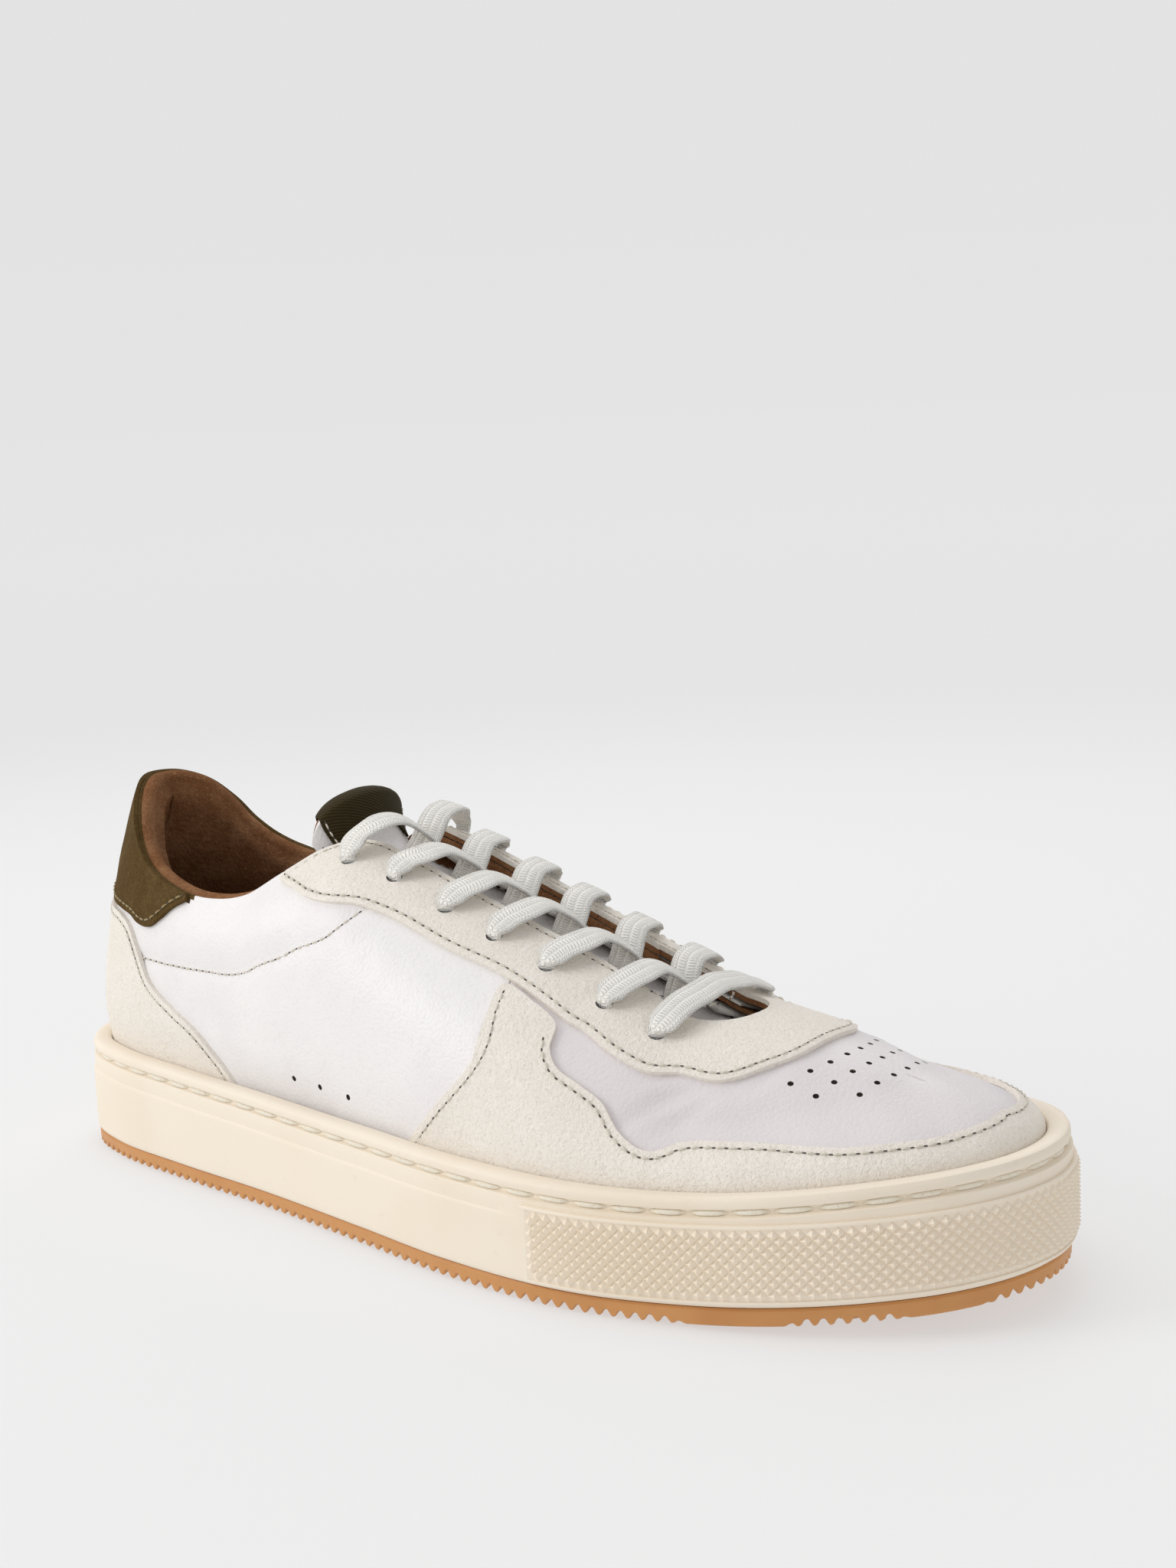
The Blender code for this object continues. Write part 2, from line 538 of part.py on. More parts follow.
# ---------------------------------------------------------------------------
# Upper
# ---------------------------------------------------------------------------
def build_upper(mats):
    white, suede = mats["white_leather"], mats["cream_suede"]
    half_gap = 0.0008
    quarter = rectangle(half_gap, SEAM_TURN - half_gap, 0, 1)
    patch("medial_quarter", quarter, white, *BASE)
    patch("lateral_quarter", mirrored(quarter), white, *BASE)
    patch("vamp", through_toe(rectangle(SEAM_TURN + half_gap, 1, 0, 1)), white, *BASE)
    patch("mudguard", through_toe(strip(MUDGUARD_EDGES, 44, 8)), suede, *OVERLAY)
    patch("eyestay", through_toe(strip(EYESTAY_EDGES, 30, 4)), suede, *OVERLAY)
    patch("heel_counter", through_heel(strip(HEEL_COUNTER_EDGES, 22, 10)), suede, *OVERLAY)
    patch("heel_tab", through_heel(strip(HEEL_TAB_EDGES, 17, 5)), mats["olive_suede"], *OVERLAY)
    patch("heel_stiffener", through_heel(rectangle(0, 0.264, 0.14, 0.54)), mats["stiffener"], *BACKING)
    patch("toe_puff", through_toe(rectangle(0.818, 1.0, 0.54, 0.88)), mats["stiffener"], *TOE_PUFF)
    tape = rectangle(0.417, 0.726, 0.745, 0.955)
    patch("medial_eyelet_tape", tape, mats["tape"], *TAPE)
    patch("lateral_eyelet_tape", mirrored(tape), mats["tape"], *TAPE)

    def lining_face(turn, rise):
        return LINING_OUTER - collar_pad(turn, rise)

    def lining_back(turn, rise):
        return lining_face(turn, rise) - LINING_THICK

    def foam_back(turn, rise):
        return lining_face(turn, rise) + 1.0
    patch("collar_foam", through_heel(rectangle(0, 0.363, 0.64, 0.88)), mats["foam"], foam_back, -2.0)
    patch("collar_lining", through_heel(rectangle(0, LINING_SEAM, 0, 1)), mats["brown_suede"],
          lining_back, lining_face)
    patch("vamp_lining", through_toe(rectangle(LINING_SEAM + half_gap, 1, 0, 1)), mats["brown_suede"],
          LINING_OUTER - LINING_THICK, LINING_OUTER)


def add_throat_punch(bm):
    """Upright prism with the outline of the throat's rounded front end."""
    outline = [(x, float(toe_drift(x)) - half) for x, half in THROAT_END]
    outline += [(x, float(toe_drift(x)) + half) for x, half in reversed(THROAT_END)]
    low, high = [[bm.verts.new((x * 0.001, y * 0.001, z * 0.001)) for x, y in outline] for z in (51, 75)]
    bm.faces.new(reversed(low))
    bm.faces.new(high)
    for k in range(len(outline)):
        after = (k + 1) % len(outline)
        bm.faces.new((low[k], low[after], high[after], high[k]))


def cut_openings(names):
    """Cuts the laces' holes and the throat's front end through every layer that they pass."""
    bm = bmesh.new()
    for turn, rise in EYELETS:
        for side in (-1, 1):
            centre = upper(side * turn, rise)
            normal = upper_normal(side * turn, rise)
            ring = bmesh.ops.create_cone(bm, cap_ends=True, segments=8, radius1=EYELET_RADIUS * 0.001,
                                         radius2=EYELET_RADIUS * 0.001, depth=0.016)
            spin = Vector((0, 0, 1)).rotation_difference(Vector(normal))
            for vertex in ring["verts"]:
                vertex.co = spin @ vertex.co + Vector(centre) * 0.001
    add_throat_punch(bm)
    mesh = bpy.data.meshes.new("opening_punches")
    bm.to_mesh(mesh)
    bm.free()
    cutter = bpy.data.objects.new("opening_punches", mesh)
    CUTTERS.objects.link(cutter)
    cutter.parent = FRAME
    cutter.hide_render = True
    cutter.display_type = "WIRE"
    for name in names:
        cut = bpy.data.objects[name].modifiers.new("openings", "BOOLEAN")
        cut.operation = "DIFFERENCE"
        cut.solver = "MANIFOLD"
        cut.object = cutter


# ---------------------------------------------------------------------------
# Tongue
# ---------------------------------------------------------------------------
def tongue_point(along, across, offset):
    """Point of the tongue: along 0 root to 1 top, across -1..1, offset from its outer face."""
    knots = np.linspace(0, 1, len(TONGUE_SPINE))
    spine = hermite(knots, np.array(TONGUE_SPINE, float), along)
    ahead = hermite(knots, np.array(TONGUE_SPINE, float), np.clip(along + 0.01, 0, 1))
    behind = hermite(knots, np.array(TONGUE_SPINE, float), np.clip(along - 0.01, 0, 1))
    direction = ahead - behind
    direction /= np.linalg.norm(direction, axis=-1)[..., None]
    half = hermite(knots, np.array(TONGUE_HALF_WIDTH, float), along)
    curl = hermite(knots, np.array(TONGUE_CURL, float), along)
    angle = across * half / curl
    radial = curl + offset
    drop = radial * np.cos(angle) - curl
    x = spine[..., 0] + direction[..., 1] * drop
    z = spine[..., 1] - direction[..., 0] * drop
    y = radial * np.sin(angle) + toe_drift(spine[..., 0])
    return np.stack([x, y, z], -1)


def tongue_grid(rows, columns, low=0.0, high=1.0):
    along, across = np.meshgrid(np.linspace(0, 1, rows), np.linspace(-1, 1, columns), indexing="ij")
    return low + (high - low) * along - TONGUE_CORNER * across ** 2 * along ** 4, across


def tongue_piece(name, material, low, high, grid):
    along, across = grid
    rows, columns = along.shape
    faces = [[i * columns + j, i * columns + j + 1, (i + 1) * columns + j + 1, (i + 1) * columns + j]
             for i in range(rows - 1) for j in range(columns - 1)]
    skins = [tongue_point(along, across, offset).reshape(-1, 3) for offset in (high, low)]
    points, solid_faces = thicken(*skins, faces)
    return add_mesh(name, points, solid_faces, material, TONGUE_PIVOT)


def build_tongue(mats):
    kinds = {"tongue_face": "white_leather", "tongue_foam": "foam", "tongue_lining": "brown_suede"}
    for name, (low, high) in TONGUE_LAYERS.items():
        tongue_piece(name, mats[kinds[name]], low, high, tongue_grid(20, 9))
    build_ribbon(mats["olive_ribbon"])


def build_ribbon(material):
    """Ribbon folded over the tongue's top edge: down its front and down its back."""
    columns = 7
    across = np.linspace(-RIBBON_REACH, RIBBON_REACH, columns)
    top = 1.0 - TONGUE_CORNER * across ** 2
    skins = []
    for clearance in (GAP, GAP + 0.8):
        rows = [tongue_point(top - drop, across, np.full(columns, clearance)) for drop in (0.125, 0.085, 0.04, 0.0)]
        over = tongue_point(top, across, np.zeros(columns))
        under = tongue_point(top, across, np.full(columns, -5.85))
        before = tongue_point(top - 0.01, across, np.zeros(columns))
        ahead = over - before
        ahead /= np.linalg.norm(ahead, axis=1)[:, None]
        rows += [over + ahead * (clearance + 0.5), under + ahead * (clearance + 0.5)]
        rows += [tongue_point(top - drop, across, np.full(columns, -5.85 - clearance)) for drop in (0.0, 0.04, 0.085)]
        skins.append(np.concatenate(rows))
    count = len(skins[0]) // columns
    faces = [[i * columns + j, i * columns + j + 1, (i + 1) * columns + j + 1, (i + 1) * columns + j]
             for i in range(count - 1) for j in range(columns - 1)]
    points, solid_faces = thicken(skins[1], skins[0], faces)
    add_mesh("tongue_ribbon", points, solid_faces, material, TONGUE_PIVOT)


# ---------------------------------------------------------------------------
# Laces: one flat lace from inside the top eyelet, down to the bottom bar and back up
# ---------------------------------------------------------------------------
LACE_OVER = OVERLAY[1] + 0.45 + LACE_THICK / 2
LACE_UNDER = LINING_OUTER - LINING_THICK - 0.82 - LACE_THICK / 2
THROAT_UP = np.array([0.30, 0.0, 0.95])


def on_upper(side, turn, rise, offset, pinch=0.0):
    """Lace station on the shoe's surface: its place, the way its flat face looks, and how far it is pinched."""
    normal = upper_normal(side * turn, rise)
    return np.concatenate([upper(side * turn, rise) + normal * offset, normal, [pinch]])


def crossing(start_side, lower, higher, over):
    """Stations from inside one eyelet, across the throat, to outside the next one on the other side."""
    (turn_a, rise_a), (turn_b, rise_b) = lower, higher
    step = turn_b - turn_a
    under = [on_upper(start_side, turn_a + step * 0.05, rise_a + 0.04, LACE_UNDER),
             on_upper(start_side, turn_a + step * 0.22, 0.985, LACE_UNDER)]
    near = upper(start_side * (turn_a + step * 0.30), 1.0)
    far = upper(-start_side * (turn_a + step * 0.72), 1.0)
    lifts = (-4.2, 1.0, 3.0) if over else (-4.6, -2.0, 2.2)
    middle = [np.concatenate([near + (far - near) * share + np.array([0, 0, lift]), THROAT_UP, [0.0]])
              for share, lift in zip((0.16, 0.50, 0.82), lifts)]
    top = [on_upper(-start_side, turn_a + step * 0.75, 0.985, LACE_OVER + 0.3),
           on_upper(-start_side, turn_a + step * 0.93, rise_b + 0.045, LACE_OVER)]
    return under + middle + top


def down_hole(side, place):
    return [on_upper(side, *place, offset, 1.0) for offset in (LACE_OVER + 0.2, 0.4, -2.4, LACE_UNDER + 0.2)]


def lace_run(first_side, over_first):
    """Stations from the bottom bar's end up to the tucked end on one side."""
    side = first_side
    stations = down_hole(side, EYELETS[0])
    for lower, higher in zip(EYELETS, EYELETS[1:]):
        stations += crossing(side, lower, higher, over_first if side == first_side else not over_first)
        side = -side
        stations += down_hole(side, higher)
    turn, rise = EYELETS[-1]
    return stations + [on_upper(side, turn - 0.004 * k, rise - 0.07 - 0.075 * k, LACE_UNDER - 0.5 - 0.75 * k)
                       for k in range(4)]


def build_lace(mats):
    turn, rise = EYELETS[0]
    half_bar = [on_upper(1, turn + 0.004 + drift, rise + reach, LACE_OVER + lift)
                for drift, reach, lift in ((0.002, 0.05, 0.2), (0.006, 0.12, 0.5), (0.012, 0.178, 0.9))]
    bar = [station * [1, -1, 1, 1, -1, 1, 1] for station in half_bar]
    hump = (half_bar[-1] + bar[-1]) / 2 + [0, 0, 0.8, 0, 0, 0, 0]
    stations = np.array(lace_run(-1, False)[::-1] + bar + [hump] + half_bar[::-1] + lace_run(1, True))
    steps = np.linalg.norm(np.diff(stations[:, :3], axis=0), axis=1) ** 0.7
    lengths = np.concatenate([[0], np.cumsum(steps)])
    fine = np.concatenate([np.linspace(a, b, 2, endpoint=False) for a, b in zip(lengths, lengths[1:])]
                          + [lengths[-1:]])
    path = hermite(lengths, stations, fine)
    path[:, 6] = np.interp(fine, lengths, stations[:, 6])
    sweep_flat("lace", path, mats["off_white_cotton"])
    ends = path[:, :3]
    for name, end, before in (("aglet_medial", ends[-1], ends[-3]), ("aglet_lateral", ends[0], ends[2])):
        add_aglet(name, end, before, mats["aglet_plastic"])


def sweep_flat(name, path, material):
    """Flat band along lace stations; it lies flat to the shoe and narrows where it is pinched."""
    places = path[:, :3]
    tangents = np.gradient(places, axis=0)
    tangents /= np.linalg.norm(tangents, axis=1)[:, None]
    side = np.cross(path[0, 3:6], tangents[0])
    rings = []
    for place, tangent, up, squeeze in zip(places, tangents, path[:, 3:6], np.clip(path[:, 6], 0, 1)):
        flat = np.cross(up, tangent)
        if np.linalg.norm(flat) > 0.5:
            side = flat if flat @ side > 0 else -flat
        side = side - tangent * (side @ tangent)
        side /= np.linalg.norm(side)
        face = np.cross(tangent, side)
        half_width = (LACE_WIDTH * (1 - squeeze) + PINCH_WIDTH * squeeze) / 2
        half_thick = (LACE_THICK * (1 - squeeze) + PINCH_THICK * squeeze) / 2
        rings.append([place + side * a * half_width + face * b * half_thick
                      for a, b in ((-1, -1), (-1, 1), (1, 1), (1, -1))])
    around = 4
    faces = [(i * around + j, i * around + (j + 1) % around, (i + 1) * around + (j + 1) % around,
              (i + 1) * around + j) for i in range(len(rings) - 1) for j in range(around)]
    faces += [tuple(range(around)), tuple(range((len(rings) - 1) * around, len(rings) * around))]
    add_mesh(name, np.concatenate(rings), faces, material)


def add_aglet(name, end, before, material):
    """Plastic tip just beyond the lace's end."""
    direction = Vector(end - before).normalized()
    length = 13.0
    bm = bmesh.new()
    bmesh.ops.create_cone(bm, cap_ends=True, segments=10, radius1=0.0015, radius2=0.0011, depth=length * 0.001)
    spin = Vector((0, 0, 1)).rotation_difference(direction)
    centre = (Vector(end) + direction * (GAP + length / 2)) * 0.001
    for vertex in bm.verts:
        vertex.co = spin @ vertex.co + centre
    mesh = bpy.data.meshes.new(name)
    bm.to_mesh(mesh)
    bm.free()
    mesh.materials.append(material)
    add_part(name, mesh)


def stand_on_origin():
    """Moves the frame so that the origin is on the ground under the middle of the shoe's box."""
    bpy.context.view_layer.update()
    corners = np.array([obj.matrix_world @ Vector(corner) for obj in PARTS.objects if obj.type != "EMPTY"
                        for corner in obj.bound_box])
    middle = (corners.min(axis=0) + corners.max(axis=0)) / 2
    FRAME.location = (-middle[0], -middle[1], 0.0)


# ---------------------------------------------------------------------------
# Assembly
# ---------------------------------------------------------------------------
clear_scene()
PARTS = bpy.data.collections.new("court_shoe")
CUTTERS = bpy.data.collections.new("court_shoe_cutters")
for collection in (PARTS, CUTTERS):
    bpy.context.scene.collection.children.link(collection)
FRAME = bpy.data.objects.new("court_shoe_frame", None)
TONGUE_PIVOT = bpy.data.objects.new("tongue_root_axis", None)
for empty in (FRAME, TONGUE_PIVOT):
    PARTS.objects.link(empty)
TONGUE_PIVOT.parent = FRAME
TONGUE_PIVOT.location = Vector(TONGUE_ROOT) * 0.001

MATERIALS = make_materials()
build_sole(MATERIALS)
build_upper(MATERIALS)
cut_openings(["eyestay", "lateral_quarter", "medial_quarter", "vamp",
             "lateral_eyelet_tape", "medial_eyelet_tape", "vamp_lining"])
build_tongue(MATERIALS)
build_lace(MATERIALS)
stand_on_origin()
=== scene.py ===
"""Looks of the court shoe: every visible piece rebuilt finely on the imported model's frame.

The upper's pieces are patches of one shared surface, as in the solid model. Lengths are in
millimetres in the shoe's own coordinates (x from the back of the heel, y towards the big toe,
z from the ground) until to_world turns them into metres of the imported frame.
"""
import math

import bmesh
import bpy
import numpy as np
from mathutils import Matrix, Vector


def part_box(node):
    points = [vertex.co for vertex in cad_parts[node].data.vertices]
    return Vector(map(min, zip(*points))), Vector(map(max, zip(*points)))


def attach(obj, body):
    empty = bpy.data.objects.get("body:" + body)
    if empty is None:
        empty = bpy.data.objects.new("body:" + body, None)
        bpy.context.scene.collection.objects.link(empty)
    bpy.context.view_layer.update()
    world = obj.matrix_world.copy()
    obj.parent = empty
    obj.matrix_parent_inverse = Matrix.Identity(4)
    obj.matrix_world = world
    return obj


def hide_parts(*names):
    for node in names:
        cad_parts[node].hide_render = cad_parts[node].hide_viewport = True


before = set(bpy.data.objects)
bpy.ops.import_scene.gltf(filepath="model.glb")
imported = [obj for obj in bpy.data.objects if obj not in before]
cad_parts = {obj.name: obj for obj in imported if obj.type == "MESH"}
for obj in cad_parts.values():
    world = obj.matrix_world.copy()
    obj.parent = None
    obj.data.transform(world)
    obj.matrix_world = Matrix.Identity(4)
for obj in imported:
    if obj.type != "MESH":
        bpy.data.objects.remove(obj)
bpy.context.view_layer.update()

# ---------------------------------------------------------------------------
# Driving dimensions, in millimetres. x runs from the back of the heel to the toe,
# y is positive on the big-toe (medial) side, z is height above the ground.
# ---------------------------------------------------------------------------
OUTSOLE_THICK = 4.3
CUP_HEIGHT = 27.0          # rubber cup above the outsole, at heel and toe
CUP_WAIST_DROP = 1.9       # the cup's top edge is this much lower at the waist
TOE_SPRING = 7.0           # how far the sole tip lifts off the ground
SPRING_START = 212.0       # x where the lift begins
LAST_INSET = 7.3           # base leather's outer face, in from the cup's outer face
FEATHER_HEIGHT = 6.0       # upper's lowest edge, above the bottom of the cup

# Outline of the cup seen from above: (x, y), from the heel round the lateral side to the toe.
LATERAL_OUTLINE = [(0, 0), (4.5, -17), (14, -29), (32, -36.5), (62, -41), (100, -45), (140, -51),
                   (172, -56), (205, -57), (232, -52), (256, -44.5), (276, -34), (291, -22), (299.5, -9)]
MEDIAL_OUTLINE = [(302, 4), (299.5, 17), (291, 31.5), (276, 44), (255, 51.5), (230, 52.5), (204, 48),
                  (172, 39), (140, 33.5), (100, 33.5), (62, 37), (32, 36), (14, 29), (4.5, 17)]

# One row per loft section of the upper, heel centre to toe tip: the section's place along the sole's
# edge (0 heel, 1 toe), where its top edge lies (x, y outward, z), the direction in which the leather
# arrives there (x, y outward, z), its curve's two handle lengths as shares of its height, and how far
# it flares out as it leaves the sole.
SECTIONS = [
    (0.000, 17.5, 0, 105, (0.50, 0.00, 0.90), 0.35, 0.35, 0.22),
    (0.035, 20, 7, 104.5, (0.40, -0.10, 0.90), 0.35, 0.35, 0.22),
    (0.070, 24.5, 13.5, 101.5, (0.25, -0.15, 0.95), 0.35, 0.35, 0.20),
    (0.105, 29, 18.5, 96, (0.10, -0.20, 1.0), 0.35, 0.35, 0.17),
    (0.145, 34.5, 22.5, 88.5, (0.00, -0.24, 1.0), 0.35, 0.35, 0.14),
    (0.185, 42, 25.5, 83, (0.00, -0.26, 1.0), 0.35, 0.35, 0.12),
    (0.225, 53, 28, 79.3, (0.00, -0.28, 1.0), 0.35, 0.35, 0.10),
    (0.270, 67, 30, 77.7, (0.00, -0.32, 1.0), 0.36, 0.35, 0.08),
    (0.315, 82, 29.5, 79.5, (0.00, -0.45, 1.0), 0.38, 0.35, 0.06),
    (0.360, 95, 26, 86.5, (-0.10, -0.80, 0.8), 0.42, 0.35, 0.05),
    (0.400, 104, 17, 92, (-0.15, -1.00, 0.45), 0.45, 0.38, 0.04),
    (0.435, 114, 13, 93.5, (-0.15, -1.00, 0.30), 0.48, 0.40, 0.03),
    (0.485, 130, 12, 89.5, (-0.12, -1.00, 0.28), 0.48, 0.40, 0.03),
    (0.540, 150, 11.5, 82.5, (-0.10, -1.00, 0.28), 0.48, 0.40, 0.03),
    (0.595, 170, 11, 75.5, (-0.10, -1.00, 0.28), 0.48, 0.42, 0.02),
    (0.650, 190, 10.5, 68, (-0.08, -1.00, 0.28), 0.46, 0.44, 0.02),
    (0.690, 203, 10, 63.2, (-0.05, -1.00, 0.25), 0.44, 0.45, 0.02),
    (0.718, 211, 7.5, 60.2, (0.00, -1.00, 0.18), 0.42, 0.45, 0.02),
    (0.745, 215.5, 0, 59, (0.00, -1.00, 0.00), 0.40, 0.42, 0.02),
    (0.780, 226, 0, 57.4, (0.00, -1.00, 0.00), 0.38, 0.42, 0.02),
    (0.820, 238, 0, 55.3, (0.00, -1.00, 0.00), 0.36, 0.42, 0.02),
    (0.860, 249, 0, 52.9, (0.00, -1.00, 0.00), 0.35, 0.42, 0.02),
    (0.900, 258, 0, 50.6, (-0.30, -0.90, 0.06), 0.35, 0.42, 0.02),
    (0.935, 264, 0, 49.0, (-0.60, -0.75, 0.15), 0.36, 0.42, 0.02),
    (0.970, 267.5, 0, 48.0, (-0.85, -0.45, 0.18), 0.38, 0.42, 0.02),
    (1.000, 269, 0, 47.6, (-1.00, 0.00, 0.20), 0.40, 0.42, 0.02),
]
TOE_CENTRE_Y = 3.5         # the toe's centre line drifts towards the big toe
TOE_DRIFT_START = 150.0


def hermite(knots, values, at):
    """Smooth curve through the values at the knots, read at the given places."""
    knots = np.asarray(knots, float)
    values = np.asarray(values, float)
    at = np.asarray(at, float)
    if values.ndim == 1:
        return hermite(knots, values[:, None], at)[..., 0]
    slopes = np.gradient(values, knots, axis=0)
    cell = np.clip(np.searchsorted(knots, at, side="right") - 1, 0, len(knots) - 2)
    width = (knots[cell + 1] - knots[cell])[..., None]
    s = ((at - knots[cell])[..., None]) / width
    low, high = values[cell], values[cell + 1]
    return ((2 * s**3 - 3 * s**2 + 1) * low + (s**3 - 2 * s**2 + s) * width * slopes[cell]
            + (3 * s**2 - 2 * s**3) * high + (s**3 - s**2) * width * slopes[cell + 1])


def unit(vectors):
    return vectors / np.maximum(np.linalg.norm(vectors, axis=-1, keepdims=True), 1e-9)


def distances(points):
    """How far along a line each of its points lies."""
    return np.concatenate([[0], np.cumsum(np.linalg.norm(np.diff(points, axis=0), axis=1))])


def smooth_step(x, low, high):
    """0 below low, 1 above high, with a smooth rise between."""
    s = np.clip((np.asarray(x, float) - low) / (high - low), 0, 1)
    return s * s * (3 - 2 * s)


def closed_curve(points, samples=720):
    """Closed smooth curve through points, as samples evenly spaced along its length from the first point."""
    pts = np.asarray(points, float)
    count = len(pts)
    ring = np.concatenate([pts[-3:], pts, pts[:4]])
    steps = np.linalg.norm(np.diff(ring, axis=0), axis=1)
    knots = np.concatenate([[0], np.cumsum(steps**0.75)])
    fine = hermite(knots, ring, np.linspace(knots[3], knots[3 + count], 8 * samples + 1))
    lengths = distances(fine)
    where = np.linspace(0, lengths[-1], samples + 1)[:-1]
    return np.stack([np.interp(where, lengths, fine[:, k]) for k in range(pts.shape[1])], 1)


OUTLINE = closed_curve(LATERAL_OUTLINE + MEDIAL_OUTLINE)
TOE_INDEX = int(np.argmax(OUTLINE[:, 0]))


def wrap(turn):
    """turn brought back into -1..1, so that a piece may run on past the toe tip."""
    return (np.asarray(turn, float) + 1) % 2 - 1


def sole_edge(turn, inset=0.0):
    """Point on the cup's outline, in by inset. turn is -1..1: 0 heel, negative lateral, +-1 toe tip."""
    turn = wrap(turn)
    samples = len(OUTLINE)
    lateral = -turn * TOE_INDEX
    medial = samples - turn * (samples - TOE_INDEX)
    place = np.where(turn <= 0, lateral, medial)
    wrapped = np.arange(-2, samples + 3)
    ring = OUTLINE[wrapped % samples]
    ahead = unit(np.roll(OUTLINE, -4, 0) - np.roll(OUTLINE, 4, 0))
    inward = np.stack([-ahead[:, 1], ahead[:, 0]], 1)[wrapped % samples]
    point, normal = (np.stack([np.interp(place, wrapped, line[:, k]) for k in (0, 1)], -1)
                     for line in (ring, inward))
    normal = unit(normal)
    return point + normal * np.asarray(inset, float)[..., None], normal


def spring(x):
    """Lift of the sole at x."""
    s = np.clip((np.asarray(x, float) - SPRING_START) / (302.0 - SPRING_START), 0, 1)
    return TOE_SPRING * s**1.8


def cup_bottom(x):
    return OUTSOLE_THICK + spring(x)


def cup_top(x):
    waist = smooth_step(x, 20, 130) * (1 - smooth_step(x, 230, 300))
    return OUTSOLE_THICK + CUP_HEIGHT + spring(x) - CUP_WAIST_DROP * waist


def toe_drift(x):
    return TOE_CENTRE_Y * smooth_step(x, TOE_DRIFT_START, 300.0)


def section_table():
    """Knots and values of the loft sections for turn from below -1 to above 1."""
    medial = np.array([(place, x, y, z, *arrive, low, high, flare)
                       for place, x, y, z, arrive, low, high, flare in SECTIONS])
    mirror = np.array([-1, 1, -1, 1, 1, -1, 1, 1, 1, 1])
    lateral = medial[1:][::-1] * mirror
    full_turn = np.array([2.0] + [0.0] * 9)
    return np.concatenate([medial[-4:-1] - full_turn, lateral, medial, lateral[1:4] + full_turn])


TABLE = section_table()


def upper(turn, rise):
    """Outer face of the base leather. turn as in sole_edge, rise 0 at the sole to 1 at the top edge."""
    turn, rise = np.broadcast_arrays(wrap(turn), np.asarray(rise, float))
    foot, inward = sole_edge(turn, LAST_INSET)
    start = np.concatenate([foot, (cup_bottom(foot[..., 0]) + FEATHER_HEIGHT)[..., None]], -1)
    row = hermite(TABLE[:, 0], TABLE[:, 1:], turn)
    end = row[..., 0:3].copy()
    end[..., 1] += toe_drift(end[..., 0])
    arrive = unit(row[..., 3:6])
    height = np.linalg.norm(end - start, axis=-1)[..., None]
    leave = np.concatenate([-inward * row[..., 8:9], np.ones_like(inward[..., :1])], -1)
    one = start + leave * height * row[..., 6:7]
    two = end - arrive * height * row[..., 7:8]
    s = rise[..., None]
    point = (1 - s) ** 3 * start + 3 * (1 - s) ** 2 * s * one + 3 * (1 - s) * s * s * two + s**3 * end
    return point - held_in_cup(point, foot, inward)


def held_in_cup(point, foot, inward):
    """How far each point is moved so that the leather stands up along the cup's wall."""
    outward = -np.sum((point[..., :2] - foot) * inward, axis=-1)
    rim = cup_top(foot[..., 0])
    press = outward * (1 - smooth_step((point[..., 2] - rim) / 12.0, -0.1, 1.0))
    return np.concatenate([-inward * press[..., None], np.zeros_like(press)[..., None]], -1)


def upper_normal(turn, rise):
    """Unit normal of the upper, pointing outward."""
    turn, rise = np.broadcast_arrays(np.asarray(turn, float), np.asarray(rise, float))
    dt, dr = 2e-3, 2e-3
    rise = np.clip(rise, dr, 0.985)
    along = upper(turn + dt, rise) - upper(turn - dt, rise)
    up = upper(turn, rise + dr) - upper(turn, rise - dr)
    return unit(np.cross(up, along))


# ---------------------------------------------------------------------------
# Layers of the upper, as offsets in mm from the outer face of the base leather.
# ---------------------------------------------------------------------------
LINING_OUTER = -3.6
LINING_THICK = 0.7
COLLAR_PAD = 4.2              # extra foam in the collar

# Places on the upper, as (turn, rise) on the medial side. The lateral side mirrors them.
SEAM_TURN = 0.598             # quarter meets vamp, hidden under the mudguard's wing
THROAT_FRONT = 0.745
LINING_SEAM = 0.385
EYELETS = [(0.716, 0.807), (0.667, 0.850), (0.617, 0.870), (0.573, 0.877),
           (0.530, 0.885), (0.482, 0.900), (0.436, 0.900)]

# Edge pairs (turn, rise, turn, rise): a low edge and a high edge that a strip is drawn between.
MUDGUARD_EDGES = [
    (0.444, 0, 0.449, 0.02), (0.464, 0, 0.497, 0.135), (0.486, 0, 0.537, 0.26), (0.510, 0, 0.570, 0.39),
    (0.536, 0, 0.586, 0.50), (0.558, 0, 0.590, 0.64), (0.584, 0, 0.596, 0.735), (0.600, 0, 0.620, 0.725),
    (0.618, 0, 0.640, 0.69), (0.640, 0, 0.640, 0.60), (0.658, 0, 0.648, 0.54), (0.676, 0, 0.668, 0.515),
    (0.692, 0, 0.686, 0.483), (0.706, 0, 0.700, 0.40), (0.724, 0, 0.726, 0.355), (0.750, 0, 0.748, 0.37),
    (0.780, 0, 0.778, 0.40), (0.820, 0, 0.815, 0.432), (0.870, 0, 0.865, 0.47), (0.912, 0, 0.910, 0.553),
    (0.955, 0, 0.952, 0.64), (1.000, 0, 1.000, 0.71)]
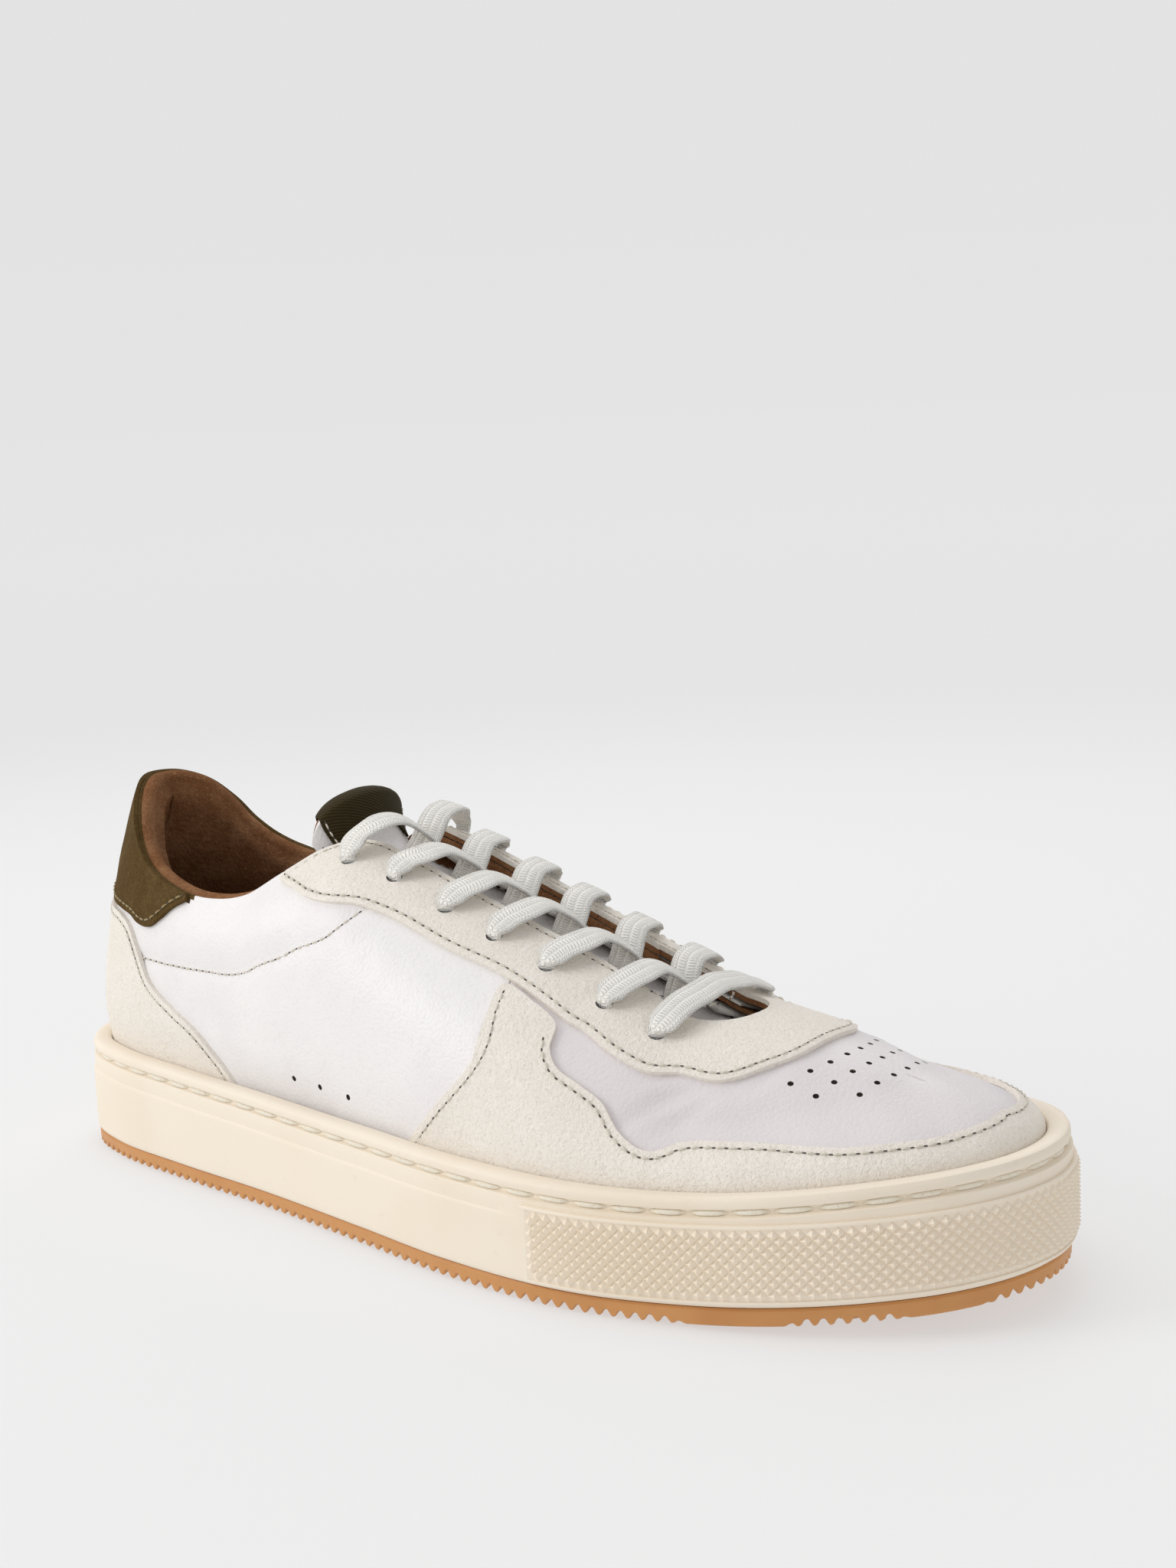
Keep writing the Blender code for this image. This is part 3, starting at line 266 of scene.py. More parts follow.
EYESTAY_EDGES = [
    (0.363, 0.955, 0.367, 0.978), (0.385, 0.857, 0.383, 0.982), (0.409, 0.770, 0.396, 0.987),
    (0.436, 0.735, 0.418, 0.995), (0.469, 0.757, 0.450, 1), (0.500, 0.765, 0.490, 1),
    (0.544, 0.755, 0.540, 1), (0.587, 0.765, 0.585, 1), (0.620, 0.748, 0.620, 1),
    (0.647, 0.722, 0.647, 1), (0.662, 0.718, 0.662, 1),
    (0.689, 0.677, 0.685, 1), (0.716, 0.645, 0.705, 1), (0.741, 0.600, 0.718, 1), (0.765, 0.590, 0.728, 1),
    (0.789, 0.633, 0.735, 1), (0.811, 0.710, 0.740, 1), (0.832, 0.803, 0.743, 1), (0.843, 0.900, 0.7445, 1),
    (0.846, 1, THROAT_FRONT, 1)]
HEEL_COUNTER_EDGES = [
    (0.000, 0, 0.000, 0.630), (0.050, 0, 0.040, 0.633), (0.090, 0, 0.080, 0.650), (0.120, 0, 0.115, 0.690),
    (0.145, 0, 0.148, 0.708), (0.170, 0, 0.170, 0.670), (0.197, 0, 0.195, 0.580), (0.225, 0, 0.229, 0.520),
    (0.255, 0, 0.260, 0.457), (0.280, 0, 0.281, 0.357), (0.305, 0, 0.297, 0.253), (0.322, 0, 0.312, 0.130),
    (0.332, 0, 0.326, 0.020)]
HEEL_TAB_EDGES = [
    (0.000, 0.645, 0.000, 1), (0.040, 0.650, 0.040, 1), (0.080, 0.668, 0.080, 1), (0.115, 0.710, 0.115, 1),
    (0.148, 0.755, 0.148, 1), (0.178, 0.778, 0.175, 1), (0.200, 0.803, 0.195, 1), (0.218, 0.860, 0.213, 1),
    (0.235, 0.928, 0.232, 1), (0.252, 0.975, 0.251, 1)]

# The tongue's centre line, root to top edge (x, z), its half width and the radius of its curl across.
TONGUE_SPINE = [(226, 49.0), (200, 56.6), (175, 66.2), (150, 75.4), (130, 81.4), (119, 84.6), (111.8, 87.4),
                (106.5, 91.8), (104.2, 97.7), (103.8, 104.3)]
TONGUE_HALF_WIDTH = [13, 18, 20.2, 20.5, 20.0, 19.8, 19.1, 18.3, 21.5, 24]
TONGUE_CURL = [50, 55, 58, 55, 48, 38, 30, 25, 26, 28]
TONGUE_CORNER = 0.16          # how much shorter the tongue is at its top corners, as a share of its length
RIBBON_REACH = 0.75           # half the ribbon's width, as a share of the tongue's half width
# Half outline of the throat's rounded front end seen from above: (x, half width), about the upper's ridge.
THROAT_END = [(190, 11.0), (200, 11.8), (208, 12.6), (214, 13.0), (219, 12.0), (223, 9.0), (225.3, 4.6)]

BUMPER_REACH = 0.63           # the bumper runs from this turn round the toe
LACE_OVER = 2.4               # the lace's middle above the base leather, outside
LACE_UNDER = LINING_OUTER - LINING_THICK - 1.37   # and inside the shoe
THROAT_UP = np.array([0.30, 0.0, 0.95])


def on_upper(side, turn, rise, offset, pinch=0.0):
    """Lace station on the shoe's surface: place, the way its flat face looks, how far it is pinched."""
    normal = upper_normal(side * turn, rise)
    return np.concatenate([upper(side * turn, rise) + normal * offset, normal, [pinch]])


def crossing(start_side, lower, higher, over):
    """Stations from inside one eyelet, across the throat, to outside the next one on the other side."""
    (turn_a, rise_a), (turn_b, rise_b) = lower, higher
    step = turn_b - turn_a
    under = [on_upper(start_side, turn_a + step * 0.05, rise_a + 0.04, LACE_UNDER),
             on_upper(start_side, turn_a + step * 0.22, 0.985, LACE_UNDER)]
    near = upper(start_side * (turn_a + step * 0.30), 1.0)
    far = upper(-start_side * (turn_a + step * 0.72), 1.0)
    lifts = (-4.2, 1.0, 3.0) if over else (-4.6, -2.0, 2.2)
    middle = [np.concatenate([near + (far - near) * share + np.array([0, 0, lift]), THROAT_UP, [0.0]])
              for share, lift in zip((0.16, 0.50, 0.82), lifts)]
    top = [on_upper(-start_side, turn_a + step * 0.75, 0.985, LACE_OVER + 0.3),
           on_upper(-start_side, turn_a + step * 0.93, rise_b + 0.045, LACE_OVER)]
    return under + middle + top


def down_hole(side, place):
    """Stations from outside an eyelet to inside it, with the lace pinched."""
    return [on_upper(side, *place, offset, 1.0) for offset in (LACE_OVER + 0.2, 0.4, -2.4, LACE_UNDER + 0.2)]


def lace_run(first_side, over_first):
    """Stations from the bottom bar's end up to the tucked end on one side."""
    side = first_side
    stations = down_hole(side, EYELETS[0])
    for lower, higher in zip(EYELETS, EYELETS[1:]):
        stations += crossing(side, lower, higher, over_first if side == first_side else not over_first)
        side = -side
        stations += down_hole(side, higher)
    turn, rise = EYELETS[-1]
    return stations + [on_upper(side, turn - 0.004 * k, rise - 0.07 - 0.075 * k, LACE_UNDER - 0.5 - 0.75 * k)
                       for k in range(4)]


def tongue_point(along, across, offset):
    """Point of the tongue: along 0 root to 1 top, across -1..1, offset from its outer face."""
    knots = np.linspace(0, 1, len(TONGUE_SPINE))
    spine, ahead, behind = (hermite(knots, TONGUE_SPINE, np.clip(along + shift, 0, 1) if shift else along)
                            for shift in (0, 0.01, -0.01))
    direction = unit(ahead - behind)
    half, curl = (hermite(knots, values, along) for values in (TONGUE_HALF_WIDTH, TONGUE_CURL))
    angle = across * half / curl
    radial = curl + offset
    drop = radial * np.cos(angle) - curl
    x = spine[..., 0] + direction[..., 1] * drop
    z = spine[..., 1] - direction[..., 0] * drop
    y = radial * np.sin(angle) + toe_drift(spine[..., 0])
    return np.stack([x, y, z], -1)


def tongue_grid(rows, columns):
    """Places (along, across) of a grid over the tongue, whose top corners are cut round."""
    along, across = np.meshgrid(np.linspace(0, 1, rows), np.linspace(-1, 1, columns), indexing="ij")
    return along - TONGUE_CORNER * across ** 2 * along ** 4, across


# ---------------------------------------------------------------------------
# Frame, objects and mesh helpers
# ---------------------------------------------------------------------------
CUP_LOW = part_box("cupsole")[0]
SHIFT = np.array([*(CUP_LOW[k] * 1000 - OUTLINE[:, k].min() for k in (0, 1)), 0.0])


def to_world(points_mm):
    return (np.asarray(points_mm, float) + SHIFT) * 0.001


def link(name, data):
    """New object in the scene."""
    obj = bpy.data.objects.new(name, data)
    bpy.context.scene.collection.objects.link(obj)
    return obj


def add_object(name, points_mm, faces, material, body="shoe", smooth=50, uv=None):
    """Object at the frame's origin from shoe-coordinate points; uv is one (u, v) per point."""
    mesh = bpy.data.meshes.new(name)
    mesh.from_pydata(to_world(points_mm).tolist(), [], [list(map(int, f)) for f in faces])
    if uv is not None:
        layer = mesh.uv_layers.new(name="pattern")
        index = np.empty(len(mesh.loops), int)
        mesh.loops.foreach_get("vertex_index", index)
        layer.data.foreach_set("uv", np.asarray(uv, float)[index].ravel())
    mesh.materials.append(material)
    shell = bmesh.new()
    shell.from_mesh(mesh)
    bmesh.ops.recalc_face_normals(shell, faces=shell.faces)
    shell.to_mesh(mesh)
    shell.free()
    mesh.shade_smooth()
    mesh.set_sharp_from_angle(angle=math.radians(smooth))
    obj = link(name, mesh)
    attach(obj, body)
    return obj


def soften_edges(obj, width_mm, segments=2, angle=50):
    """Rounds the rims of a sheet-like piece, as a cut or skived edge is."""
    bevel = obj.modifiers.new("rim", "BEVEL")
    bevel.width = width_mm * 0.001
    bevel.segments = segments
    bevel.limit_method = "ANGLE"
    bevel.angle_limit = math.radians(angle)
    bevel.harden_normals = False


def grid_faces(rows, columns):
    index = np.arange(rows * columns).reshape(rows, columns)
    return np.stack([index[:-1, :-1], index[1:, :-1], index[1:, 1:], index[:-1, 1:]], -1).reshape(-1, 4)


def tube_faces(rings, around, start=0):
    """Faces between closed rings of points that follow each other, numbered from start."""
    ring, point = np.meshgrid(np.arange(rings - 1), np.arange(around), indexing="ij")
    a, b = (start + ring * around + step % around for step in (point, point + 1))
    return np.stack([a, b, b + around, a + around], -1).reshape(-1, 4).tolist()


def lofted(rings, cap_low=True, cap_high=True):
    """Points and faces of a skin over closed rings, capped at either end."""
    count = len(rings[0])
    faces = tube_faces(len(rings), count)
    if cap_low:
        faces.append(range(count))
    if cap_high:
        faces.append(range((len(rings) - 1) * count, len(rings) * count))
    return np.concatenate(rings), faces


def thicken(outer, inner, faces):
    """Closed solid between two skins that share their faces: walls close it round every free edge."""
    count = len(outer)
    edges = dict.fromkeys((a, b) for face in faces for a, b in zip(face, [*face[1:], face[0]]))
    walls = [(b, a, a + count, b + count) for a, b in edges if (b, a) not in edges]
    flipped = [[i + count for i in reversed(face)] for face in faces]
    return np.concatenate([outer, inner]), [list(f) for f in faces] + flipped + walls


def skin(places):
    """Welded points, normals, (turn, rise) and faces of a grid of places on the upper."""
    rows, columns = places.shape[:2]
    turn, rise = places[..., 0].ravel(), places[..., 1].ravel()
    base, normal = upper(turn, rise), upper_normal(turn, rise)
    _, first, index = np.unique(np.round(base, 3), axis=0, return_index=True, return_inverse=True)
    index = index.ravel()
    mean = np.zeros((len(first), 3))
    np.add.at(mean, index, normal)
    faces = []
    for corners in index[grid_faces(rows, columns)]:
        ring = [int(c) for k, c in enumerate(corners) if c != corners[k - 1]]
        if len(ring) > 2:
            faces.append(ring)
    return base[first], unit(mean), turn[first], rise[first], faces


def patch(name, places, material, low, high, rim=0.35, relief=None):
    """Sheet of leather over a grid of places, between two offsets from the base leather's face."""
    base, normal, turn, rise, faces = skin(places)
    highs = high(turn, rise) if callable(high) else np.full(len(base), float(high))
    if relief is not None:
        highs = highs + relief(base, turn, rise)
    points, solid_faces = thicken(base + normal * highs[:, None], base + normal * low, faces)
    obj = add_object(name, points, solid_faces, material)
    if rim:
        soften_edges(obj, rim)
    return obj


def span(low, high, step):
    return np.linspace(low, high, max(2, int(math.ceil((high - low) / step)) + 1))


def rectangle(turn_low, turn_high, turn_step, rise_step):
    """Grid of places from the sole to the top edge, between two turns."""
    turns, rises = span(turn_low, turn_high, turn_step), span(0, 1, rise_step)
    return np.stack(np.meshgrid(turns, rises, indexing="ij"), -1)


def mirrored(places):
    return places * [-1, 1]


def through_heel(grid):
    return np.concatenate([mirrored(grid)[::-1], grid[1:]])


def through_toe(grid):
    return np.concatenate([mirrored(grid), grid[::-1][1:]])


def strip(edges, rows, columns):
    """Medial grid of places between the low and the high edge of an edge-pair list."""
    pairs = hermite(np.arange(len(edges)), edges, np.linspace(0, len(edges) - 1, rows))
    share = np.linspace(0, 1, columns)[:, None]
    places = pairs[:, None, 0:2] * (1 - share) + pairs[:, None, 2:4] * share
    places[..., 1] = np.clip(places[..., 1], 0, 1)
    return places


def edge_line(edges, column):
    """Places along one edge of an edge-pair list: column 0 the low edge, 2 the high edge."""
    pairs = hermite(np.arange(len(edges)), edges, np.linspace(0, len(edges) - 1, EDGE_SAMPLES))
    places = pairs[:, column:column + 2].copy()
    places[:, 1] = np.clip(places[:, 1], 0, 1)
    return places


def resample(points, step, ends=0.0):
    """Points about a step apart, evenly spaced along a line."""
    lengths = distances(points[:, :3])
    count = max(2, int(round((lengths[-1] - 2 * ends) / step)) + 1)
    at = np.linspace(ends, lengths[-1] - ends, count)
    return np.stack([np.interp(at, lengths, points[:, k]) for k in range(points.shape[1])], 1)


# ---------------------------------------------------------------------------
# Stitches: short capsules that dip into the leather at both ends
# ---------------------------------------------------------------------------
# The needle holes are drawn as small near-black dimples: painted shade where the thread enters the leather.
NEEDLE_LENGTH, NEEDLE_WIDTH = 0.54, 0.26   # half sizes of the dimple round a needle hole
THREAD_SIDES, THREAD_LEVELS = 6, 5         # a stitch's points around and along it


def seam(places, inset, offset, toward=None):
    """Line on the upper's surface with its normals, moved by inset towards the places on another line."""
    base, normal = upper(places[:, 0], places[:, 1]), upper_normal(places[:, 0], places[:, 1])
    keep = np.concatenate([[True], np.linalg.norm(np.diff(base, axis=0), axis=1) > 0.02])
    base, normal = base[keep], normal[keep]
    along = unit(np.gradient(base, axis=0))
    side = unit(np.cross(normal, along))
    if toward is not None:
        target = upper(toward[keep, 0], toward[keep, 1])
        side = side * np.sign(np.sum(side * (target - base)))
    lift = offset + raised(base, places[keep, 0], places[keep, 1])
    return np.concatenate([base + side * inset + normal * lift[:, None], normal], 1)


def stitch_row(name, line, material, pitch=3.0, length=2.1, radius=0.27, body="shoe", ends=1.2, holes=True):
    """line is points with normals; each stitch is a thread bowed over the leather, between needle holes drawn
    as small dark dimples of painted shade.
    """
    stations = resample(line, pitch, ends)
    middle = (stations[:-1] + stations[1:]) / 2
    points, faces = [], []
    angles = np.arange(THREAD_SIDES) * 2 * math.pi / THREAD_SIDES
    for k, station in enumerate(middle):
        along = unit(stations[k + 1, :3] - stations[k, :3])
        up = unit(station[3:6] - along * (station[3:6] @ along))
        side = np.cross(along, up)
        start = len(points)
        for s in np.linspace(-1, 1, THREAD_LEVELS):
            swell = radius * (1 - 0.55 * abs(s) ** 3)
            centre = station[:3] + along * s * length / 2 + up * radius * (0.55 - 1.25 * abs(s) ** 3)
            points += [centre + side * math.cos(angle) * swell * 1.15 + up * math.sin(angle) * swell
                       for angle in angles]
        last = len(points) - THREAD_SIDES
        faces += tube_faces(THREAD_LEVELS, THREAD_SIDES, start)
        faces += [range(start, start + THREAD_SIDES), reversed(range(last, last + THREAD_SIDES))]
    threads = len(faces)
    # Needle holes: dark dimples of painted shade at each station.
    for k, station in enumerate(stations if holes else []):
        ahead = stations[min(k + 1, len(stations) - 1), :3] - stations[max(k - 1, 0), :3]
        up = unit(station[3:6])
        along = unit(ahead - up * (ahead @ up))
        side = np.cross(up, along)
        start = len(points)
        points += [station[:3] + along * math.cos(angle) * NEEDLE_LENGTH
                   + side * math.sin(angle) * NEEDLE_WIDTH - up * 0.02 for angle in angles]
        points += [station[:3] + up * 0.03, station[:3] - up * 0.35]
        centre = start + THREAD_SIDES
        for j in range(THREAD_SIDES):
            a, b = start + j, start + (j + 1) % THREAD_SIDES
            faces += [(a, b, centre), (b, a, centre + 1)]
    row = add_object(name, np.array(points), faces, material, body=body, smooth=70)
    # The needle holes take the near-black hole material, painted shade.
    row.data.materials.append(HOLE_SHADE)
    for polygon in row.data.polygons[threads:]:
        polygon.material_index = 1
    return row


# ---------------------------------------------------------------------------
# Materials
# ---------------------------------------------------------------------------
class Finish:
    """A Principled material with a few shortcuts for its procedural nodes."""

    def __init__(self, name, colour, roughness, **sockets):
        self.material = bpy.data.materials.new(name)
        self.material.use_nodes = True
        self.tree = self.material.node_tree
        self.shader = self.tree.nodes["Principled BSDF"]
        self.set(Base_Color=(*colour, 1), Roughness=roughness, **sockets)
        self.colour = (*colour, 1)
        self.height = None
        self.coords = self.node("ShaderNodeTexCoord").outputs["Object"]

    def set(self, **sockets):
        for key, value in sockets.items():
            self.shader.inputs[key.replace("_", " ")].default_value = value

    def feed(self, socket, value):
        """Links a socket's value to an input, or sets it when it is a plain value."""
        if isinstance(value, bpy.types.NodeSocket):
            self.tree.links.new(value, socket)
        else:
            socket.default_value = value

    def node(self, kind, inputs=None, **settings):
        made = self.tree.nodes.new(kind)
        for key, value in settings.items():
            setattr(made, key, value)
        for key, value in (inputs or {}).items():
            self.feed(made.inputs[key], value)
        return made

    def noise(self, scale, detail=2.0, rough=0.5, vector=None):
        settings = {"Vector": vector or self.coords, "Scale": scale, "Detail": detail, "Roughness": rough}
        return self.node("ShaderNodeTexNoise", settings).outputs["Fac"]

    def stretch(self, x, y, z):
        return self.node("ShaderNodeMapping", {"Vector": self.coords, "Scale": (x, y, z)}).outputs["Vector"]

    def cells(self, scale):
        return self.node("ShaderNodeTexVoronoi", {"Vector": self.coords, "Scale": scale}).outputs["Distance"]

    def math(self, operation, a, b=0.0, c=0.0):
        return self.node("ShaderNodeMath", {0: a, 1: b, 2: c}, operation=operation).outputs[0]

    def ramp(self, value, low, high):
        made = self.node("ShaderNodeMapRange", {"Value": value, "From Min": low, "From Max": high},
                         interpolation_type="SMOOTHSTEP")
        return made.outputs["Result"]

    def tint(self, factor, colour):
        """Mixes another colour over the base by a factor socket."""
        mix = self.node("ShaderNodeMix", {"Factor": factor}, data_type="RGBA")
        base, over = (socket for socket in mix.inputs if socket.type == "RGBA")
        self.feed(base, self.colour)
        self.feed(over, (*colour, 1))
        self.colour = next(socket for socket in mix.outputs if socket.type == "RGBA")
        self.feed(self.shader.inputs["Base Color"], self.colour)

    def flecks(self, value, low, high, amount, colour):
        """Another colour where a pattern's value is high, covering by amount at most."""
        self.tint(self.math("MULTIPLY", self.ramp(value, low, high), amount), colour)

    def bump(self, height, distance_mm, strength=1.0):
        inputs = {"Height": height, "Distance": distance_mm * 0.001, "Strength": strength}
        if self.height is not None:
            inputs["Normal"] = self.height
        self.height = self.node("ShaderNodeBump", inputs).outputs["Normal"]
        self.feed(self.shader.inputs["Normal"], self.height)

    def vary_roughness(self, value, low, high):
        spread = self.node("ShaderNodeMapRange", {"Value": value, "To Min": low, "To Max": high})
        self.feed(self.shader.inputs["Roughness"], spread.outputs["Result"])


def leather_finish(name, colour, shade):
    """White leather with a fine pebble grain."""
    f = Finish(name, colour, 0.42, Specular_IOR_Level=0.45)
    f.tint(f.ramp(f.noise(24, 3), 0.45, 0.75), shade)
    # Painted shade: darker flecks in the grooves between the grain's pebbles, on the same cells as the
    # grain's bump.
    f.flecks(f.cells(1150), 0.55, 0.9, 0.16, (0.66, 0.62, 0.62))
    f.bump(f.noise(120, 4, 0.55), 0.5, 0.22)
    f.bump(f.ramp(f.cells(1150), 0.95, 0.15), 0.10, 0.55)
    f.bump(f.noise(3200, 2), 0.05, 0.4)
    f.vary_roughness(f.noise(90, 3), 0.36, 0.52)
    return f.material


def suede_finish(name, colour, light, dark, nap=1.0, sheen=0.2):
    """Short fuzzy nap: fine light and dark flecks over soft brushed patches."""
    f = Finish(name, colour, 0.97, Specular_IOR_Level=0.12, Sheen_Weight=sheen, Sheen_Roughness=0.6)
    f.set(Sheen_Tint=(*light, 1))
    f.flecks(f.noise(110, 4, 0.6), 0.42, 0.66, 0.5, light)
    f.flecks(f.noise(55, 3, 0.55), 0.5, 0.8, 0.25, dark)
    f.flecks(f.noise(1300, 3, 0.75), 0.50, 0.70, 0.48, dark)
    f.flecks(f.noise(1250, 2, 0.7, f.stretch(1.3, 1, 0.8)), 0.55, 0.72, 0.7, light)
    f.bump(f.noise(820, 3, 0.75), 0.62 * nap, 1.0)
    f.bump(f.noise(2600, 2, 0.7), 0.12 * nap, 0.9)
    return f.material


def cream_rubber_finish():
    f = Finish("cream_rubber", (0.88, 0.785, 0.655), 0.50, Specular_IOR_Level=0.4)
    f.tint(f.ramp(f.noise(18, 3), 0.45, 0.8), (0.85, 0.745, 0.60))
    f.flecks(f.noise(260, 4, 0.7), 0.60, 0.78, 0.30, (0.72, 0.62, 0.49))
    f.bump(f.noise(700, 3, 0.6), 0.08, 0.35)
    f.bump(f.noise(60, 2), 0.5, 0.12)
    f.vary_roughness(f.noise(140, 3), 0.42, 0.60)
    return f.material


def gum_finish():
    f = Finish("gum_rubber", (0.60, 0.285, 0.095), 0.46, Specular_IOR_Level=0.45)
    f.set(Subsurface_Weight=0.12, Subsurface_Radius=(0.9, 0.45, 0.2), Subsurface_Scale=0.0015)
    f.tint(f.ramp(f.noise(26, 3), 0.45, 0.75), (0.52, 0.225, 0.068))
    f.flecks(f.noise(420, 4, 0.7), 0.58, 0.78, 0.35, (0.42, 0.20, 0.07))
    f.bump(f.noise(800, 3), 0.08, 0.35)
    f.vary_roughness(f.noise(160, 3), 0.38, 0.58)
    return f.material


def thread_finish(name, colour, dark):
    f = Finish(name, colour, 0.62, Specular_IOR_Level=0.3, Sheen_Weight=0.2)
    f.tint(f.ramp(f.noise(1500, 2, 0.6), 0.5, 0.8), dark)
    f.bump(f.noise(2200, 2, 0.6), 0.12, 0.8)
    return f.material


def pattern_uv(f):
    layer = f.node("ShaderNodeUVMap", uv_map="pattern").outputs["UV"]
    parts = f.node("ShaderNodeSeparateXYZ", {"Vector": layer})
    return parts.outputs["X"], parts.outputs["Y"]


def braid_finish():
    """Flat braid: two families of slanted yarns that meet in a chevron along the middle."""
    f = Finish("off_white_cotton", (0.95, 0.93, 0.885), 0.9, Specular_IOR_Level=0.2, Sheen_Weight=0.15)
    along, across = pattern_uv(f)
    fold = f.math("ABSOLUTE", f.math("SUBTRACT", f.math("FRACT", f.math("MULTIPLY", across, 2.0)), 0.5))
    slant = f.math("MULTIPLY_ADD", fold, 3.4, f.math("MULTIPLY", along, 1.2))
    yarn = f.math("PINGPONG", slant, 0.5)
    lane = f.math("PINGPONG", f.math("MULTIPLY", across, 16.0), 0.5)
    height = f.math("MULTIPLY", f.ramp(yarn, 0.02, 0.34), f.ramp(lane, -0.05, 0.30))
    # Painted shade: the braid is darker in the hollows between its yarns, where the height is low.
    f.tint(f.math("MULTIPLY", f.math("SUBTRACT", 1.0, height), 0.30), (0.70, 0.66, 0.59))
    f.flecks(f.noise(140, 3), 0.5, 0.8, 0.3, (0.86, 0.83, 0.76))
    f.bump(height, 0.30, 1.0)
    f.bump(f.noise(3000, 2, 0.6), 0.08, 0.7)
    return f.material


def twill_finish():
    """Narrow ribbon of slanted ribs between two selvedges."""
    f = Finish("olive_ribbon", (0.030, 0.021, 0.006), 0.8, Specular_IOR_Level=0.15, Sheen_Weight=0.03)
    along, across = pattern_uv(f)
    rib = f.math("PINGPONG", f.math("MULTIPLY_ADD", across, 0.85, f.math("MULTIPLY", along, 1.25)), 0.5)
    twill = f.ramp(rib, 0.05, 0.40)
    # Painted light and shade: the ribbon is darker in the grooves between its ribs and lighter on the ribs,
    # following their height.
    f.tint(f.math("MULTIPLY", twill, 0.75), (0.060, 0.042, 0.013))
    f.flecks(f.noise(900, 3), 0.5, 0.8, 0.35, (0.020, 0.014, 0.004))
    f.bump(twill, 0.22, 1.0)
    f.bump(f.noise(3200, 2), 0.06, 0.7)
    return f.material


def plain_finish(name, colour, roughness, scale, depth_mm, dark):
    f = Finish(name, colour, roughness)
    f.tint(f.ramp(f.noise(scale, 3), 0.45, 0.8), dark)
    f.bump(f.noise(scale * 2.5, 3), depth_mm, 0.6)
    return f.material


WHITE = leather_finish("white_leather", (0.85, 0.83, 0.825), (0.80, 0.765, 0.77))
# The vamp's leather is the same white leather painted darker: painted shade for its upward-facing top, which
# the lamps light less.
SHADED_VAMP_WHITE = leather_finish("vamp_leather_painted_shade", (0.745, 0.70, 0.705), (0.70, 0.65, 0.66))
CREAM = suede_finish("cream_suede", (0.88, 0.825, 0.75), (0.93, 0.885, 0.82), (0.66, 0.585, 0.49))
OLIVE = suede_finish("olive_suede", (0.095, 0.055, 0.016), (0.17, 0.108, 0.040), (0.035, 0.020, 0.006),
                     1.6, 0.15)
BROWN = suede_finish("brown_suede", (0.235, 0.102, 0.042), (0.40, 0.21, 0.105), (0.10, 0.040, 0.016),
                     1.8, 0.10)
RUBBER = cream_rubber_finish()
GUM = gum_finish()
THREAD = thread_finish("thread", (0.70, 0.65, 0.56), (0.50, 0.45, 0.37))
OLIVE_THREAD = thread_finish("olive_thread", (0.34, 0.25, 0.11), (0.22, 0.16, 0.06))
SOLE_THREAD = thread_finish("sole_thread", (0.86, 0.80, 0.67), (0.70, 0.62, 0.49))
BRAID = braid_finish()
TWILL = twill_finish()
# Painted shade: near-black colour for the needle holes and for the walls and floors of the punched holes,
# standing in for the shade inside them.
HOLE_SHADE = plain_finish("hole_painted_shade", (0.10, 0.085, 0.07), 0.9, 900, 0.1, (0.05, 0.042, 0.035))
FOAM = plain_finish("foam", (0.72, 0.68, 0.55), 0.95, 1800, 0.3, (0.60, 0.55, 0.43))
BOARD = plain_finish("fibre_board", (0.42, 0.33, 0.22), 0.9, 500, 0.1, (0.33, 0.25, 0.16))
STIFF = plain_finish("stiffener", (0.60, 0.56, 0.48), 0.8, 700, 0.1, (0.50, 0.46, 0.38))
TAPE_CLOTH = plain_finish("tape", (0.78, 0.76, 0.70), 0.85, 1500, 0.15, (0.66, 0.63, 0.56))
AGLET = plain_finish("aglet_plastic", (0.84, 0.82, 0.77), 0.25, 200, 0.02, (0.78, 0.75, 0.69))

# ---------------------------------------------------------------------------
# Sole
# ---------------------------------------------------------------------------
CUP_STATIONS = 520            # points round each ring of the cup
OUTSOLE_STATIONS = 1360
TOOTH_PITCH, TOOTH_DEPTH = 3.6, 1.55       # notches along the outsole's rim
TREAD_PITCH = 5.2             # distance between the zigzag ribs underneath
ZIGZAG_PITCH, ZIGZAG_REACH = 15.0, 3.2
KNURL_PITCH, KNURL_ROWS = 1.42, 13         # the bumper's small pyramids
KNURL_PEAK, KNURL_VALLEY, KNURL_BORDER = 1.70, 0.50, 0.95   # how far each stands off the cup
BUMPER_LOW, BUMPER_HIGH = 1.2, 19.4        # the bumper's edges above the bottom of the cup


def ring(turn, inset, heights):
    """Closed ring of points at an inset from the outline; heights is a function of x."""
    edge, _ = sole_edge(turn, inset)
    return np.column_stack([edge, heights(edge[:, 0])])


def above_bottom(height):
    return lambda x: cup_bottom(x) + height


def below_top(drop):
    return lambda x: cup_top(x) - drop


